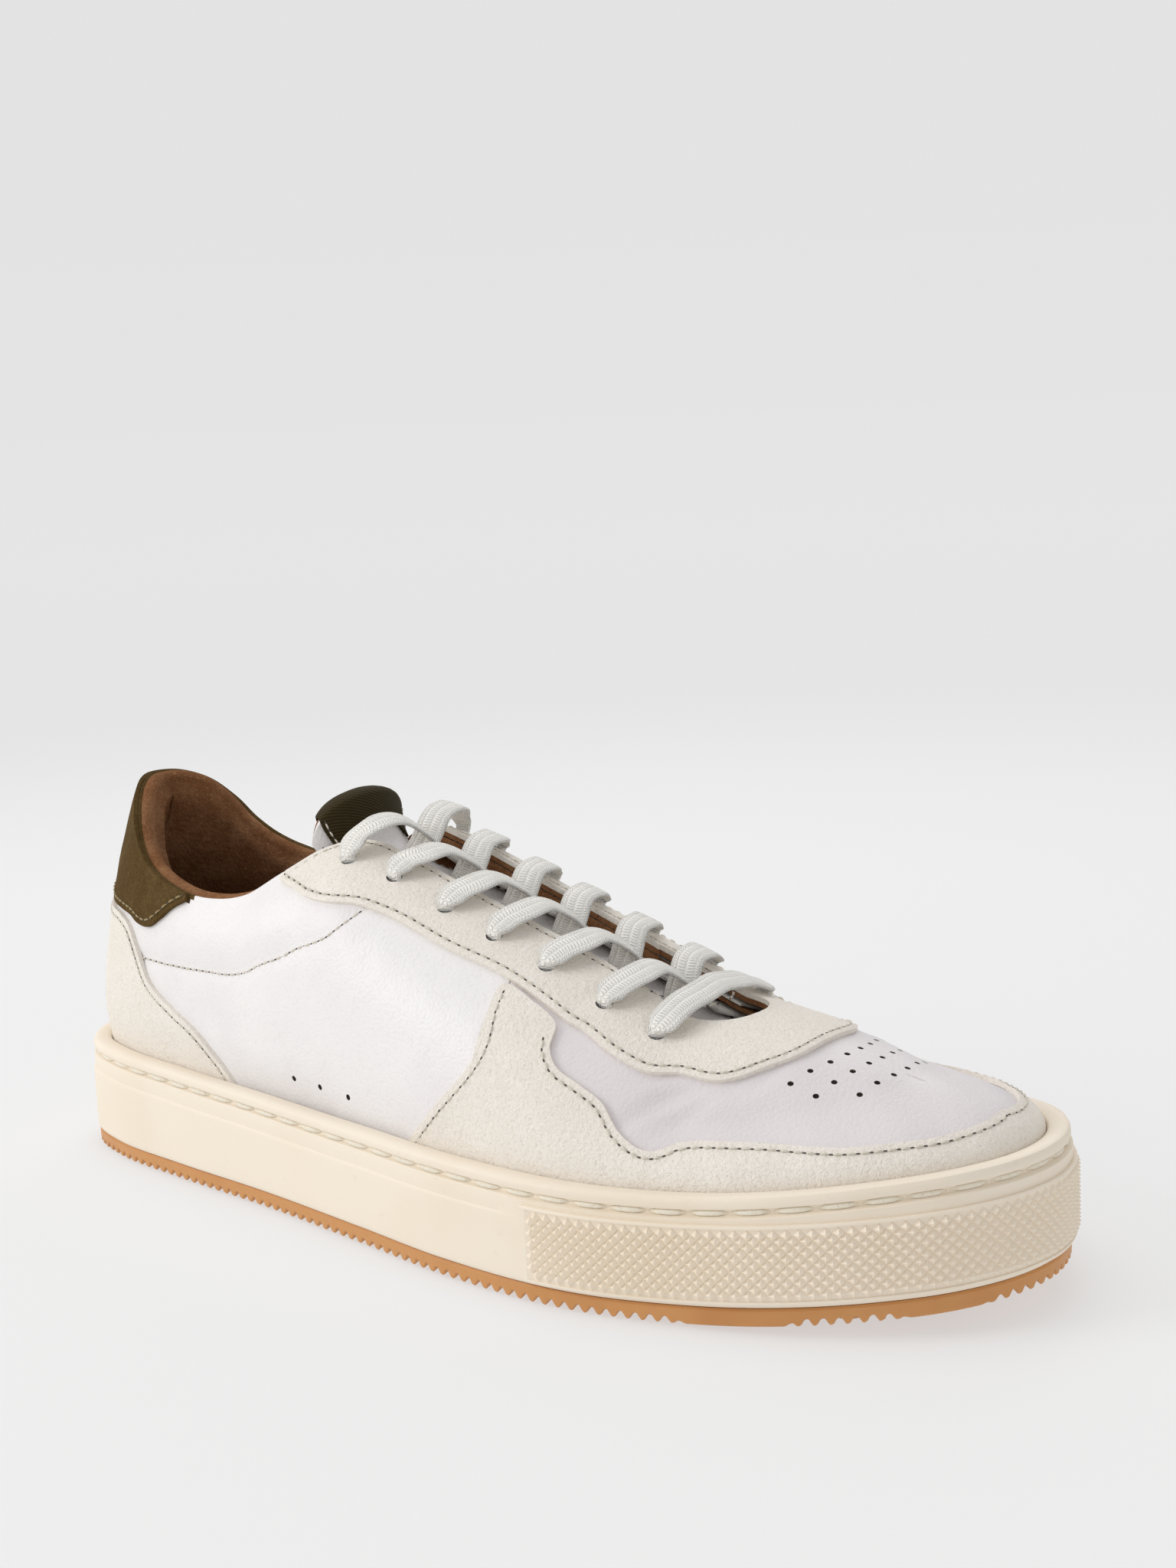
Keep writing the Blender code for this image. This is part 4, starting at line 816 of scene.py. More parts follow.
def build_cupsole():
    """Rubber cup with a stitched groove under its rolled top edge, stepped in behind the bumper."""
    turn = np.linspace(-1, 1, CUP_STATIONS, endpoint=False)
    step = 0.02 + 0.40 * (1 - smooth_step(np.abs(turn), BUMPER_REACH - 0.02, BUMPER_REACH))
    low = [(1.3, 0.05), (0.55, 0.35), (0.12, 0.9), (0.0, 2.0), (0.0, 8)]
    high = [(0.0, 12.5), (0.0, 9.6), (0.08, 9.1), (step, 8.7), (step, 7.0), (step, 4.9), (0.62, 4.55),
            (1.55, 4.2), (1.75, 3.7), (1.55, 3.1), (0.62, 2.75), (0.45, 2.3), (0.55, 1.2), (0.95, 0.42),
            (1.7, 0.05), (2.6, 0.0), (4.4, 0.05), (5.3, 0.3), (5.75, 0.9), (5.85, 2.0), (5.6, 9)]
    profile = [(inset, above_bottom(rise)) for inset, rise in low]
    profile += [(inset, below_top(drop)) for inset, drop in high] + [(4.6, above_bottom(8))]
    rings = [ring(turn, np.broadcast_to(inset, turn.shape), heights) for inset, heights in profile]
    points, faces = lofted(rings, cap_high=False)
    cup = add_object("cup", points, faces, RUBBER, smooth=38)
    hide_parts("cupsole")


def build_outsole():
    """Gum slab with a toothed rim."""
    turn = np.linspace(-1, 1, OUTSOLE_STATIONS, endpoint=False)
    edge, _ = sole_edge(turn, 0.5)
    tooth = np.abs((distances(edge) / TOOTH_PITCH) % 1.0 - 0.5) * 2
    plain = np.zeros(len(edge))
    for fade_in, full, fade_out, end in ((232, 240, 258, 264), (278, 284, 294, 298)):
        stretch = smooth_step(edge[:, 0], fade_in, full) * (1 - smooth_step(edge[:, 0], fade_out, end))
        plain = np.maximum(plain, stretch)
    notch = TOOTH_DEPTH * smooth_step(tooth, 0.15, 0.85) * (1 - plain)
    lift = spring(edge[:, 0])
    profile = [(4.2, 1.3), (2.2, 0.7 + notch * 0.6), (1.0, 0.15 + notch), (0.55, 0.55 + notch), (0.45, 2.6),
               (0.5, OUTSOLE_THICK - 0.5), (0.95, OUTSOLE_THICK - 0.02)]
    points, faces = lofted([np.column_stack([sole_edge(turn, inset)[0], lift + height])
                            for inset, height in profile])
    slab = add_object("gum_outsole", points, faces, GUM, smooth=35)
    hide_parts("outsole")


def build_tread():
    """Zigzag ribs across the sole, from edge to edge."""
    points, faces = [], []
    border = sole_edge(np.linspace(-1, 1, 720, endpoint=False), 5.0)[0]
    border = border[np.argsort(border[:, 0])]
    lateral, medial = border[border[:, 1] < 0], border[border[:, 1] >= 0]
    for x0 in np.arange(8, 296, TREAD_PITCH):
        y_low, y_high = (np.interp(x0, side[:, 0], side[:, 1]) for side in (lateral, medial))
        if y_high - y_low < 12 or x0 < border[0, 0] + 3 or x0 > border[-1, 0] - 4:
            continue
        ys = np.arange(y_low, y_high, 2.5)
        xs = x0 + ZIGZAG_REACH * (np.abs((ys / ZIGZAG_PITCH) % 1.0 - 0.5) * 4 - 1)
        start = len(points)
        for x, y, lift in zip(xs, ys, spring(xs)):
            points += [(x + reach, y, lift + height)
                       for reach, height in ((-1.7, 1.5), (-1.1, 0), (1.1, 0), (1.7, 1.5))]
        last = len(points) - 4
        faces += [*tube_faces(len(ys), 4, start), range(start, start + 4), range(last, last + 4)]
    ribs = add_object("herringbone_tread", np.array(points), faces, GUM, smooth=25)


def build_sole_stitching():
    """Long stitches of thick thread in the cup's groove."""
    count = 1400
    turn = np.linspace(-1, 1, count)
    edge, inward = sole_edge(turn, 1.45)
    points = np.column_stack([edge, cup_top(edge[:, 0]) - 3.65])
    normals = np.column_stack([-inward, np.full(count, 0.12)])
    row = stitch_row("sole_stitches", np.concatenate([points, normals], 1), SOLE_THREAD,
                     pitch=9.6, length=8.9, radius=0.62, ends=0.0, holes=False)
    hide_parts("sole_stitching")


def build_bumper():
    """Knurled rubber strip: rows of small pyramids between plain borders."""
    reach = np.linspace(-BUMPER_REACH, -(2 - BUMPER_REACH), 3000)
    run = distances(sole_edge(reach, 0.0)[0])
    columns = int(run[-1] / KNURL_PITCH) // 2 * 2 + 1
    turns = np.interp(np.linspace(0, run[-1], columns), run, reach)
    column = np.arange(columns)
    ends = (column < 2) | (column > columns - 3)
    border = [(-0.1, 0.0), (0.75, 0.05), (KNURL_BORDER, 0.45), (KNURL_BORDER, 0.8)]
    levels = [(np.full(columns, out), BUMPER_LOW + inset) for out, inset in border]
    for row, height in enumerate(np.linspace(BUMPER_LOW + 0.9, BUMPER_HIGH - 0.9, KNURL_ROWS)):
        peaks = ((column + row) % 2 == 0) & (0 < row < KNURL_ROWS - 1)
        levels.append((np.where(ends, KNURL_BORDER, np.where(peaks, KNURL_PEAK, KNURL_VALLEY)), height))
    levels += [(np.full(columns, out), BUMPER_HIGH - inset) for out, inset in reversed(border)]
    points = []
    for out, height in levels:
        spots, _ = sole_edge(turns, -out)
        points.append(np.column_stack([spots, cup_bottom(spots[:, 0]) + height]))
    index = np.arange(len(levels) * columns).reshape(len(levels), columns)
    faces = []
    for r in range(len(levels) - 1):
        for c in range(columns - 1):
            a, b, d, e = index[r, c], index[r, c + 1], index[r + 1, c + 1], index[r + 1, c]
            if not len(border) <= r < len(border) + KNURL_ROWS - 1:
                faces.append((a, b, d, e))
            elif (c + r - len(border)) % 2 == 0:
                faces += [(a, b, e), (b, d, e)]
            else:
                faces += [(a, b, d), (a, d, e)]
    faces += [index[:, 0], index[::-1, -1]]
    faces += [(index[0, c], index[-1, c], index[-1, c + 1], index[0, c + 1]) for c in range(columns - 1)]
    bumper = add_object("knurled_bumper", np.concatenate(points), faces, RUBBER, smooth=12)
    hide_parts("toe_bumper")


# ---------------------------------------------------------------------------
# Upper
# ---------------------------------------------------------------------------
SUEDE = (-0.05, 1.25)         # the overlays' low and high faces, from the base leather's
LEATHER_THICK = 1.4
SEAM_GAP = 0.0002             # half the turn between two panels that meet
EDGE_SAMPLES = 400            # places along the edge of an overlay
CREASES = [((0.775, 0.60), (0.690, 0.40), 0.55), ((0.800, 0.66), (0.735, 0.42), 0.45),
           ((0.760, 0.58), (0.700, 0.47), 0.40), ((0.826, 0.74), (0.775, 0.50), 0.35)]


def wrinkles(base, *_):
    """Shallow creases that fan out from the front of the lace stay, and a faint unevenness."""
    height = np.zeros(len(base))
    for (t0, r0), (t1, r1), depth in CREASES:
        for side, strength in ((-1, 1.0), (1, 0.6)):
            a, b = upper(np.array(side * t0), r0), upper(np.array(side * t1), r1)
            run = b - a
            share = np.clip(((base - a) @ run) / (run @ run), -0.1, 1.1)
            gap = np.linalg.norm(base - (a + share[:, None] * run), axis=1)
            fade = smooth_step(share, -0.1, 0.25) * (1 - smooth_step(share, 0.55, 1.1))
            ridge, valley = 0.45 * np.exp(-((gap - 3.0) / 1.9) ** 2), np.exp(-(gap / 1.5) ** 2)
            height += strength * depth * fade * (ridge - valley)
    wave = np.sin(base[:, 0] * 0.19 + base[:, 1] * 0.11) * np.sin(base[:, 1] * 0.23 - base[:, 2] * 0.17 + 1.3)
    return height + 0.16 * wave


def punches(name, spots, radius, depth, sides):
    """One cutter of short rods along the surface's normals; spots are (turn, rise)."""
    bm = bmesh.new()
    for turn, rise in spots:
        centre, normal = upper(np.array(turn), rise), upper_normal(np.array(turn), rise)
        made = bmesh.ops.create_cone(bm, cap_ends=True, segments=sides, radius1=radius * 0.001,
                                     radius2=radius * 0.001, depth=depth * 0.001)
        spin = Vector((0, 0, 1)).rotation_difference(Vector(normal))
        for vertex in made["verts"]:
            vertex.co = spin @ vertex.co + Vector(to_world(centre))
    mesh = bpy.data.meshes.new(name)
    bm.to_mesh(mesh)
    bm.free()
    # The cut faces of the holes take this near-black material: painted shade inside the holes.
    mesh.materials.append(HOLE_SHADE)
    return link(name, mesh)


def paint_top_edge(piece, side, start, end, material):
    """Binds a stretch of the leather's top edge in another material."""
    line = to_world(upper(np.linspace(start, end, 120) * side, 1.0))
    piece.data.materials.append(material)
    last = len(piece.data.materials) - 1
    for polygon in piece.data.polygons:
        if np.linalg.norm(line - np.array(polygon.center), axis=1).min() < 0.0024:
            polygon.material_index = last


def throat_punch():
    """Upright prism with the outline of the throat's rounded front end."""
    half = np.array(THROAT_END + [(THROAT_END[-1][0] + 0.6, 0.0)])
    fine = hermite(np.arange(len(half)), half, np.linspace(0, len(half) - 1, 42))
    fine[:, 1] = np.maximum(fine[:, 1], 0)
    centre = toe_drift(fine[:, 0])
    outline = np.concatenate([np.column_stack([fine[:, 0], centre - fine[:, 1]])[:-1],
                              np.column_stack([fine[:, 0], centre + fine[:, 1]])[::-1]])
    points, faces = lofted([np.column_stack([outline, np.full(len(outline), z)]) for z in (51.0, 75.0)])
    faces[-2] = faces[-2][::-1]
    mesh = bpy.data.meshes.new("throat_punch")
    mesh.from_pydata(to_world(points).tolist(), [], [list(face) for face in faces])
    mesh.materials.append(BROWN)
    return link("throat_punch", mesh)


def cut(obj, *cutters):
    """Takes the cutters' shapes out of the piece, with their materials on the cut faces."""
    for cutter in cutters:
        modifier = obj.modifiers.new("holes", "BOOLEAN")
        modifier.operation = "DIFFERENCE"
        modifier.solver = "MANIFOLD"
        modifier.material_mode = "TRANSFER"
        modifier.object = cutter
    bpy.context.view_layer.update()
    made = bpy.data.meshes.new_from_object(obj.evaluated_get(bpy.context.evaluated_depsgraph_get()))
    obj.modifiers.clear()
    obj.data = made
    made.shade_smooth()
    made.set_sharp_from_angle(angle=math.radians(50))


# Rows of toe holes, rear to front, each from its outer end up to the vamp's ridge, as (turn, rise).
PERFORATIONS = [
    [(0.823, 0.627), (0.838, 0.713), (0.851, 0.793), (0.863, 0.88), (0.872, 1.0)],
    [(0.846, 0.607), (0.860, 0.70), (0.875, 0.803), (0.886, 0.90), (0.897, 1.0)],
    [(0.881, 0.687), (0.896, 0.79), (0.911, 0.887), (0.932, 1.0)]]
PERFORATION_PITCH = 6.2
VENTS = [(0.372, 0.26), (0.402, 0.223), (0.435, 0.20)]


def perforation_spots():
    """Toe holes evenly spaced outward from the vamp's ridge, on both sides."""
    spots = []
    for row in PERFORATIONS:
        fine = hermite(np.arange(len(row)), row[::-1], np.linspace(0, len(row) - 1, 60))
        run = distances(upper(fine[:, 0], fine[:, 1]))
        for at in np.arange(PERFORATION_PITCH / 2, run[-1] + 0.5, PERFORATION_PITCH):
            turn, rise = (np.interp(at, run, fine[:, k]) for k in (0, 1))
            spots += [(turn, rise), (-turn, rise)]
    return spots


def both_sides(places):
    return [(side * turn, rise) for turn, rise in places for side in (-1, 1)]


def build_quarters(eyelets, vents):
    """The two side panels, with their top edge bound in suede behind the heel and in lining by the throat."""
    panel = rectangle(0.0, SEAM_TURN - SEAM_GAP, 0.005, 0.018)
    for name, side in (("lateral_quarter", -1), ("medial_quarter", 1)):
        grid = panel * [side, 1]
        grid[0, :, 0] = side * 0.0004
        piece = patch("leather_" + name, grid, WHITE, -LEATHER_THICK, 0.0, rim=0.3, relief=quarter_relief)
        cut(piece, eyelets, vents)
        paint_top_edge(piece, side, 0, 0.252, OLIVE)
        paint_top_edge(piece, side, 0.40, SEAM_TURN, BROWN)
        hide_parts(name)


def build_vamp(eyelets, throat, holes):
    grid = through_toe(rectangle(SEAM_TURN + SEAM_GAP, 1, 0.005, 0.022))
    # The vamp takes the darker copy of the white leather: painted shade on its top.
    vamp = patch("leather_vamp", grid, SHADED_VAMP_WHITE, -LEATHER_THICK, 0.0, rim=0.3, relief=wrinkles)
    cut(vamp, eyelets, throat, holes)
    for side in (-1, 1):
        paint_top_edge(vamp, side, SEAM_TURN - 0.01, THROAT_FRONT, BROWN)
    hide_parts("vamp")


def build_overlays(eyelets, throat):
    """Suede pieces sewn on top of the leather."""
    pieces = [
        ("suede_mudguard", "mudguard", through_toe(strip(MUDGUARD_EDGES, 260, 20)), CREAM, "cream_suede"),
        ("suede_eyestay", "eyestay", through_toe(strip(EYESTAY_EDGES, 200, 14)), CREAM, "cream_suede"),
        ("suede_counter", "heel_counter", through_heel(strip(HEEL_COUNTER_EDGES, 110, 22)), CREAM,
         "cream_suede"),
        ("suede_tab", "heel_tab", through_heel(strip(HEEL_TAB_EDGES, 80, 14)), OLIVE, "olive_suede"),
    ]
    for name, node, grid, material, slot in pieces:
        piece = patch(name, grid, material, *SUEDE, rim=0.42, relief=raised)
        if node == "eyestay":
            throat.data.materials[0] = CREAM
            cut(piece, eyelets, throat)
        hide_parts(node)


def build_vamp_lining(eyelets, throat):
    """Lining of the forepart, thicker at its top edge, where it meets the leather round the throat."""
    def face(turn, rise):
        return LINING_OUTER + 0.3 + 1.75 * smooth_step(rise, 0.955, 0.985)

    grid = through_toe(rectangle(LINING_SEAM + SEAM_GAP, 1, 0.010, 0.04))
    lining = patch("vamp_lining_suede", grid, BROWN, LINING_OUTER - LINING_THICK, face, rim=0.2)
    throat.data.materials[0] = BROWN
    cut(lining, eyelets, throat)
    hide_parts("vamp_lining")


def build_leather():
    eyelets = punches("eyelet_punches", both_sides(EYELETS), 2.1, 16, 14)
    holes = punches("toe_punches", perforation_spots(), 0.75, 1.5, 12)
    vents = punches("vent_punches", both_sides(VENTS), 0.8, 2.2, 12)
    throat = throat_punch()
    build_quarters(eyelets, vents)
    build_vamp(eyelets, throat, holes)
    build_overlays(eyelets, throat)
    build_vamp_lining(eyelets, throat)
    for cutter in (eyelets, holes, vents, throat):
        bpy.data.objects.remove(cutter, do_unlink=True)


# The stitched line under the collar's padding, as (turn, rise), and how deep its groove is.
COLLAR_SEAM = np.array([(0.165, 0.632), (0.201, 0.670), (0.249, 0.703), (0.289, 0.707), (0.349, 0.670),
                        (0.386, 0.628), (0.424, 0.618), (0.449, 0.672), (0.468, 0.752)])
COLLAR_SEAM_LINE = hermite(np.arange(len(COLLAR_SEAM)), COLLAR_SEAM,
                           np.linspace(0, len(COLLAR_SEAM) - 1, 160))
COLLAR_GROOVE = 0.42
COLLAR_SWELL = 1.5            # how far the padding lifts the leather


def padding(turn, rise):
    """How far the stuffed collar swells the leather above its seam."""
    turn = np.abs(turn)
    seam_rise = np.interp(turn, COLLAR_SEAM[:, 0], COLLAR_SEAM[:, 1])
    along = smooth_step(turn, 0.12, 0.22) * (1 - smooth_step(turn, 0.36, 0.46))
    up = smooth_step(rise - seam_rise, 0.0, 0.12) * (1 - smooth_step(rise, 0.84, 0.99))
    return COLLAR_SWELL * along * up


def raised(base, turn, rise):
    """How far the leather stands off the smooth surface."""
    return uneven(base) + padding(turn, rise)


def quarter_relief(base, turn, rise):
    """The raised leather with a stitched groove along the collar's seam."""
    side = np.sign(turn[len(turn) // 2])
    gap = np.full(len(base), 1e9)
    for point in upper(COLLAR_SEAM_LINE[:, 0] * side, COLLAR_SEAM_LINE[:, 1]):
        gap = np.minimum(gap, np.linalg.norm(base - point, axis=1))
    return raised(base, turn, rise) - COLLAR_GROOVE * np.exp(-(gap / 1.5) ** 2)


def uneven(base):
    """The faint waviness of leather pulled over a last."""
    wave = np.sin(base[:, 0] * 0.15 + base[:, 2] * 0.21 + 0.4) * np.sin(base[:, 2] * 0.19 - base[:, 0] * 0.08)
    return 0.12 * wave + 0.05 * np.sin(base[:, 0] * 0.61) * np.sin(base[:, 2] * 0.53)


WING_STRETCHES = ((0, 112), (163, 400))    # the mudguard's seam stops short of the wing's tip on either side


def build_seams():
    """Rows of stitches along the overlays' edges and the collar's seam."""
    top = SUEDE[1] + 0.06
    rows = []
    for name, edges, column in (("mudguard", MUDGUARD_EDGES, 2), ("eyestay", EYESTAY_EDGES, 0),
                                ("throat", EYESTAY_EDGES, 2)):
        for side in (1, -1):
            line, other = (edge_line(edges, c) * [side, 1] for c in (column, 2 - column))
            for first, last in WING_STRETCHES if name == "mudguard" else ((0, EDGE_SAMPLES),):
                rows.append((name + "_stitches", seam(line[first:last], 1.9, top, other[first:last])))
    for name, edges, column in (("counter", HEEL_COUNTER_EDGES, 2), ("tab", HEEL_TAB_EDGES, 0)):
        line, other = (through_heel(edge_line(edges, c)) for c in (column, 2 - column))
        rows.append((name + "_stitches", seam(line, 1.8, top, other)))
    for number, (name, line) in enumerate(rows):
        row = stitch_row(f"{name}_{number}", line, OLIVE_THREAD if name == "tab_stitches" else THREAD)
    for side in (-1, 1):
        line = seam(COLLAR_SEAM_LINE * [side, 1], 0, 0.1 - COLLAR_GROOVE)
        row = stitch_row(f"collar_stitches_{side}", line, THREAD, pitch=2.8)


COLLAR_ROLL = 2.1             # radius of the lining's roll over the top edge


def build_collar():
    """Padded collar: one skin that rolls over the top edge and swells inside."""
    turns = np.linspace(-LINING_SEAM, LINING_SEAM, 210)
    rises = np.linspace(0.97, 0.12, 22)
    rows = []
    for turn in turns:
        base, normal = upper(np.array(turn), 1.0), upper_normal(np.array(turn), 1.0)
        up = unit(base - upper(np.array(turn), 0.97))
        centre = base - normal * (1.0 + COLLAR_ROLL) - up * 0.3
        points = [base - normal * 1.0 - up * 3.0, base - normal * 0.95 - up * 1.0]
        points += [centre + (normal * math.cos(angle) + up * math.sin(angle)) * COLLAR_ROLL
                   for angle in np.linspace(0, math.pi, 9)]
        places, normals = upper(np.full(22, turn), rises), upper_normal(np.full(22, turn), rises)
        fade = 1 - smooth_step(abs(turn), 0.33, 0.385)
        swell = smooth_step(rises, 0.50, 0.80) * (1 - 0.25 * smooth_step(rises, 0.88, 1.0)) * fade
        depth = 4.1 + COLLAR_PAD * swell + 1.0 * smooth_step(rises, 0.9, 1.0)
        rows.append([*points, *(places - normals * depth[:, None])])
    grid = np.array(rows)
    collar = add_object("padded_collar", grid.reshape(-1, 3), grid_faces(*grid.shape[:2]), BROWN, smooth=80)
    thick = collar.modifiers.new("lining", "SOLIDIFY")
    thick.thickness = LINING_THICK * 0.001
    thick.offset = -1
    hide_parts("collar_lining", "collar_foam")


# ---------------------------------------------------------------------------
# Tongue
# ---------------------------------------------------------------------------
TONGUE_BACK = -5.7            # the lining's inner face, from the tongue's outer face
RIBBON_CLEARANCE = (0.12, 0.85)            # the ribbon's two faces off the tongue


def tongue_patch(name, low, high, rows, columns, material, relief):
    """Closed pad between two offsets from the tongue's face, fuller in the middle."""
    along, across = tongue_grid(rows, columns)
    ends = smooth_step(along, 0.0, 0.1) * (1 - smooth_step(along, 0.965, 1.0))
    swell = relief * (1 - np.abs(across) ** 6) * ends
    outer = tongue_point(along, across, high + swell).reshape(-1, 3)
    inner = tongue_point(along, across, low - swell * 0.6).reshape(-1, 3)
    points, faces = thicken(outer, inner, grid_faces(rows, columns).tolist())
    piece = add_object(name, points, faces, material, body="tongue", smooth=70)
    soften_edges(piece, 0.6, 3, 40)
    return piece


def tongue_seam(name, along, across, offset, **stitch):
    """Row of stitches down the tongue, offset from its face."""
    across = np.full(len(along), across)
    points, above = (tongue_point(along, across, np.full(len(along), height))
                     for height in (offset, offset + 1))
    row = stitch_row(name, np.concatenate([points, unit(above - points)], 1), THREAD, body="tongue", **stitch)


def build_tongue():
    face = tongue_patch("padded_tongue_face", -3.0, -0.35, 150, 40, WHITE, 0.35)
    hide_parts("tongue_face", "tongue_foam")
    back = tongue_patch("tongue_lining_suede", TONGUE_BACK, -3.05, 110, 30, BROWN, 0.1)
    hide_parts("tongue_lining")
    for side in (-1, 1):
        tongue_seam(f"tongue_stitches_{side}", np.linspace(0.02, 0.83, 240), side * 0.90, 0.02)


def build_ribbon():
    """Twill ribbon folded over the tongue's top edge."""
    columns = 37
    across = np.linspace(-RIBBON_REACH, RIBBON_REACH, columns)
    top = 1.0 - TONGUE_CORNER * across ** 2

    def line(drop, offset):
        return tongue_point(top - drop, across, np.full(columns, offset))

    over, under = line(0, 0.0), line(0, TONGUE_BACK)
    ahead, out = unit(over - line(0.01, 0.0)), unit(over - under)
    half = np.linalg.norm(over - under, axis=1)[:, None] / 2
    inner, outer = (np.array(
        [line(drop, clearance) for drop in np.linspace(0.13, 0.0, 14)]
        + [(over + under) / 2 + out * (half + clearance) * math.cos(angle)
           + ahead * (0.9 + clearance) * math.sin(angle) for angle in np.linspace(0.12, math.pi - 0.12, 9)]
        + [line(drop, TONGUE_BACK - clearance) for drop in np.linspace(0.0, 0.12, 9)])
        for clearance in RIBBON_CLEARANCE)
    run = distances(outer[:, columns // 2])
    width = np.linalg.norm(outer[:, -1] - outer[:, 0], axis=1).mean()
    uv = np.stack(np.broadcast_arrays(run[:, None], across / (2 * RIBBON_REACH) * width), -1).reshape(-1, 2)
    faces = grid_faces(len(outer), columns).tolist()
    points, faces = thicken(outer.reshape(-1, 3), inner.reshape(-1, 3), faces)
    ribbon = add_object("twill_ribbon", points, faces, TWILL, body="tongue", uv=np.concatenate([uv, uv]))
    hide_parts("tongue_ribbon")
    edge = RIBBON_REACH * 0.93
    along = 1.0 - TONGUE_CORNER * edge ** 2 - np.linspace(0.12, 0.01, 30)
    for side in (-1, 1):
        tongue_seam(f"ribbon_stitches_{side}", along, side * edge, 0.9,
                    pitch=2.4, length=1.8, radius=0.22, ends=0.3)


# ---------------------------------------------------------------------------
# Lace
# ---------------------------------------------------------------------------
LACE_BOW = 2.0                # how far the slack lace stands off the leather between its holes
LACE_SIZE = (8.0, 1.25)       # width and thickness of the flat braid, lying free
PINCH_SIZE = (4.6, 1.9)       # and bunched up in an eyelet
LACE_SIDES = 16


def lace_stations():
    """Stations of the whole lace, from one tucked end to the other, bowed up between the holes."""
    turn, rise = EYELETS[0]
    half_bar = [on_upper(1, turn + 0.004 + drift, rise + reach, LACE_OVER + lift)
                for drift, reach, lift in ((0.002, 0.05, 0.2), (0.006, 0.12, 0.5), (0.012, 0.178, 0.9))]
    bar = [station * [1, -1, 1, 1, -1, 1, 1] for station in half_bar]
    hump = (half_bar[-1] + bar[-1]) / 2 + [0, 0, 0.8, 0, 0, 0, 0]
    stations = np.array(lace_run(-1, False)[::-1] + bar + [hump] + half_bar[::-1] + lace_run(1, True))
    in_hole = [0.0] * 4
    bows = in_hole[:]
    for number in range(len(EYELETS) - 1):
        slack = 2.1 if number == 5 else 1.0
        bows += [bow * slack for bow in (0, 0, 0, 0.5, 1, 1.1, 0.7)] + in_hole
    bows += in_hole
    bows = np.array(bows[::-1] + [0.4, 0.8, 1.0, 1.0, 1.0, 0.8, 0.4] + bows)
    stations[:, :3] += stations[:, 3:6] * (LACE_BOW * bows)[:, None]
    return stations


def build_braid():
    """Flat braided band along the lace's route, lying flat to the shoe and bunched where it is pinched."""
    stations = lace_stations()
    steps = np.linalg.norm(np.diff(stations[:, :3], axis=0), axis=1) ** 0.7
    knots = np.concatenate([[0], np.cumsum(steps)])
    fine = [np.linspace(a, b, 7, endpoint=False) for a, b in zip(knots, knots[1:])]
    fine = np.concatenate(fine + [knots[-1:]])
    path = hermite(knots, stations, fine)
    places = path[:, :3]
    pinch = smooth_step(np.interp(fine, knots, stations[:, 6]), 0, 1) ** 2.2
    sizes = np.outer(1 - pinch, LACE_SIZE) + np.outer(pinch, PINCH_SIZE)
    tangents = unit(np.gradient(places, axis=0))
    angles = np.linspace(0, 2 * math.pi, LACE_SIDES, endpoint=False)
    across = np.copysign(np.abs(np.cos(angles)) ** 0.55, np.cos(angles))[:, None] / 2
    through = np.copysign(np.abs(np.sin(angles)) ** 0.75, np.sin(angles))[:, None] / 2
    side = np.cross(path[0, 3:6], tangents[0])
    rings = []
    for place, tangent, up, (width, thick) in zip(places, tangents, path[:, 3:6], sizes):
        flat = np.cross(up, tangent)
        if np.linalg.norm(flat) > 0.35:
            side = flat if flat @ side > 0 else -flat
        side = unit(side - tangent * (side @ tangent))
        rings.append(place + side * across * width + np.cross(tangent, side) * through * thick)
    uv = [(along, j / LACE_SIDES) for along in distances(places) for j in range(LACE_SIDES)]
    points, faces = lofted(rings)
    lace = add_object("braided_lace", points, faces, BRAID, smooth=80, uv=uv)
    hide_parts("lace")


# ---------------------------------------------------------------------------
# Build
# ---------------------------------------------------------------------------
build_cupsole()
build_outsole()
build_tread()
build_sole_stitching()
build_bumper()
build_leather()
build_seams()
build_collar()
build_tongue()
build_ribbon()
build_braid()

CAD_FINISHES = {"midsole_wedge": FOAM, "insole_board": BOARD, "footbed": BROWN, "heel_stiffener": STIFF,
                "toe_puff": STIFF, "medial_eyelet_tape": TAPE_CLOTH, "lateral_eyelet_tape": TAPE_CLOTH,
                "aglet_medial": AGLET, "aglet_lateral": AGLET}
for name, material in CAD_FINISHES.items():
    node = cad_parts[name]
    for slot in node.material_slots:
        slot.material = material

# ---------------------------------------------------------------------------
# Floor, light and camera
# ---------------------------------------------------------------------------
FLOOR_SEGMENTS = 96
FLOOR_PROFILE = [(0.5, 0), (1.0, 0), (2.0, 0), (4.0, 0), (8.0, 0), (12.0, 0.4), (15.0, 1.6), (16.0, 3.0),
                 (16.2, 9.0)]  # radius and height, in metres


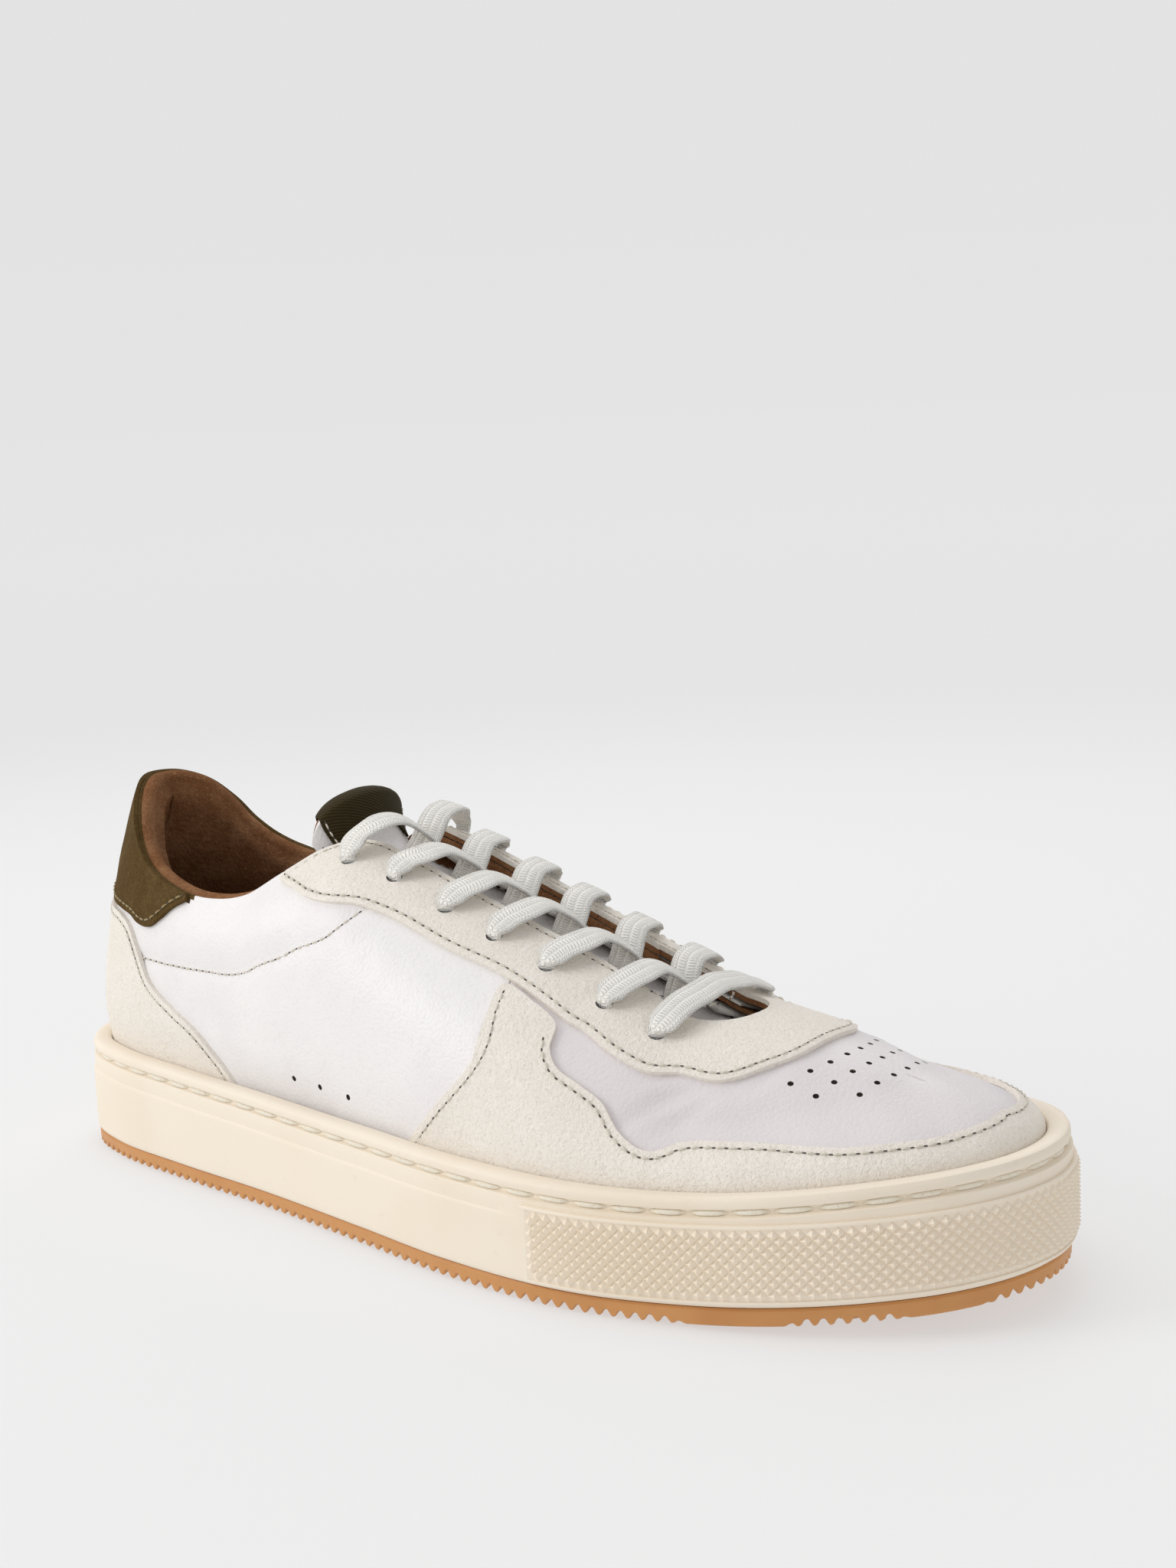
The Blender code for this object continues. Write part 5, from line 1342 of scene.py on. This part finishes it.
def build_stage():
    """Wide pale floor that glows softly to one even tone away from the shoe."""
    angles = np.arange(FLOOR_SEGMENTS) * 2 * math.pi / FLOOR_SEGMENTS
    points = [(0, 0, 0)] + [(radius * math.cos(angle), radius * math.sin(angle), height)
                            for radius, height in FLOOR_PROFILE for angle in angles]
    faces = [(0, 1 + k, 1 + (k + 1) % FLOOR_SEGMENTS) for k in range(FLOOR_SEGMENTS)]
    faces += [(a, d, c, b) for a, b, c, d in tube_faces(len(FLOOR_PROFILE), FLOOR_SEGMENTS, 1)]
    mesh = bpy.data.meshes.new("studio_floor")
    mesh.from_pydata([(x, y, z - 0.0002) for x, y, z in points], [], faces)
    mesh.shade_smooth()
    f = Finish("studio_paper", (0.32, 0.32, 0.32), 0.95, Specular_IOR_Level=0.05)
    f.set(Emission_Color=(0.77, 0.77, 0.77, 1))
    reach = f.node("ShaderNodeVectorMath", {0: f.coords}, operation="LENGTH").outputs["Value"]
    far = f.ramp(reach, 0.40, 1.25)
    f.tint(far, (0, 0, 0))
    f.feed(f.shader.inputs["Emission Strength"], f.math("MULTIPLY_ADD", far, 0.30, 0.70))
    mesh.materials.append(f.material)
    link("studio_floor", mesh)


def area_light(name, place, target_height, size, power, colour=(1, 1, 1)):
    """Round soft light that faces the shoe."""
    light = bpy.data.lights.new(name, "AREA")
    light.shape = "DISK"
    light.size = size
    light.energy = power
    light.color = colour
    obj = link(name, light)
    obj.location = place
    obj.rotation_euler = (Vector((0, 0, target_height)) - Vector(place)).to_track_quat("-Z", "Y").to_euler()


CAMERA_PLACE = (504.77, -416.72, 192.17)   # in the shoe's millimetres
CAMERA_ANGLES = (38.09, 8.69, 2.41)        # azimuth from the outer side (-Y) towards the toe, elevation, roll
CAMERA_FOCUS = 2811.12 / 2048.0            # focal length as a share of the picture's height


def build_camera():
    """Camera that sees the shoe as the photograph does."""
    azimuth, elevation, roll = map(math.radians, CAMERA_ANGLES)
    back = np.array([math.sin(azimuth) * math.cos(elevation), -math.cos(azimuth) * math.cos(elevation),
                     math.sin(elevation)])
    right = np.array([math.cos(azimuth), math.sin(azimuth), 0.0])
    up = np.cross(back, right)
    right, up = right * math.cos(roll) - up * math.sin(roll), right * math.sin(roll) + up * math.cos(roll)
    data = bpy.data.cameras.new("camera")
    data.sensor_width = 36.0
    data.lens = data.sensor_width * CAMERA_FOCUS
    data.clip_start, data.clip_end = 0.01, 50
    camera = link("camera", data)
    axes = np.column_stack([right, up, back, to_world(CAMERA_PLACE)])
    camera.matrix_world = Matrix([*axes.tolist(), [0, 0, 0, 1]])
    bpy.context.scene.camera = camera


build_stage()
area_light("overhead", (-0.5, 0.0, 1.9), 0.05, 2.0, 12)
area_light("left_front", (-1.25, -1.35, 1.0), 0.06, 1.0, 15, (1.0, 0.985, 0.965))
area_light("right_front", (1.6, -0.9, 0.9), 0.06, 1.2, 0.6, (0.98, 0.99, 1.0))
area_light("behind", (-0.6, 1.6, 1.2), 0.06, 1.2, 5)
world = bpy.data.worlds.new("studio_air")
world.use_nodes = True
sky = world.node_tree.nodes["Background"].inputs
sky["Color"].default_value = (0.90, 0.90, 0.91, 1)
sky["Strength"].default_value = 0.5
bpy.context.scene.world = world
shown = bpy.context.scene.view_settings
shown.view_transform, shown.look, shown.exposure = "Standard", "None", 0.0
build_camera()
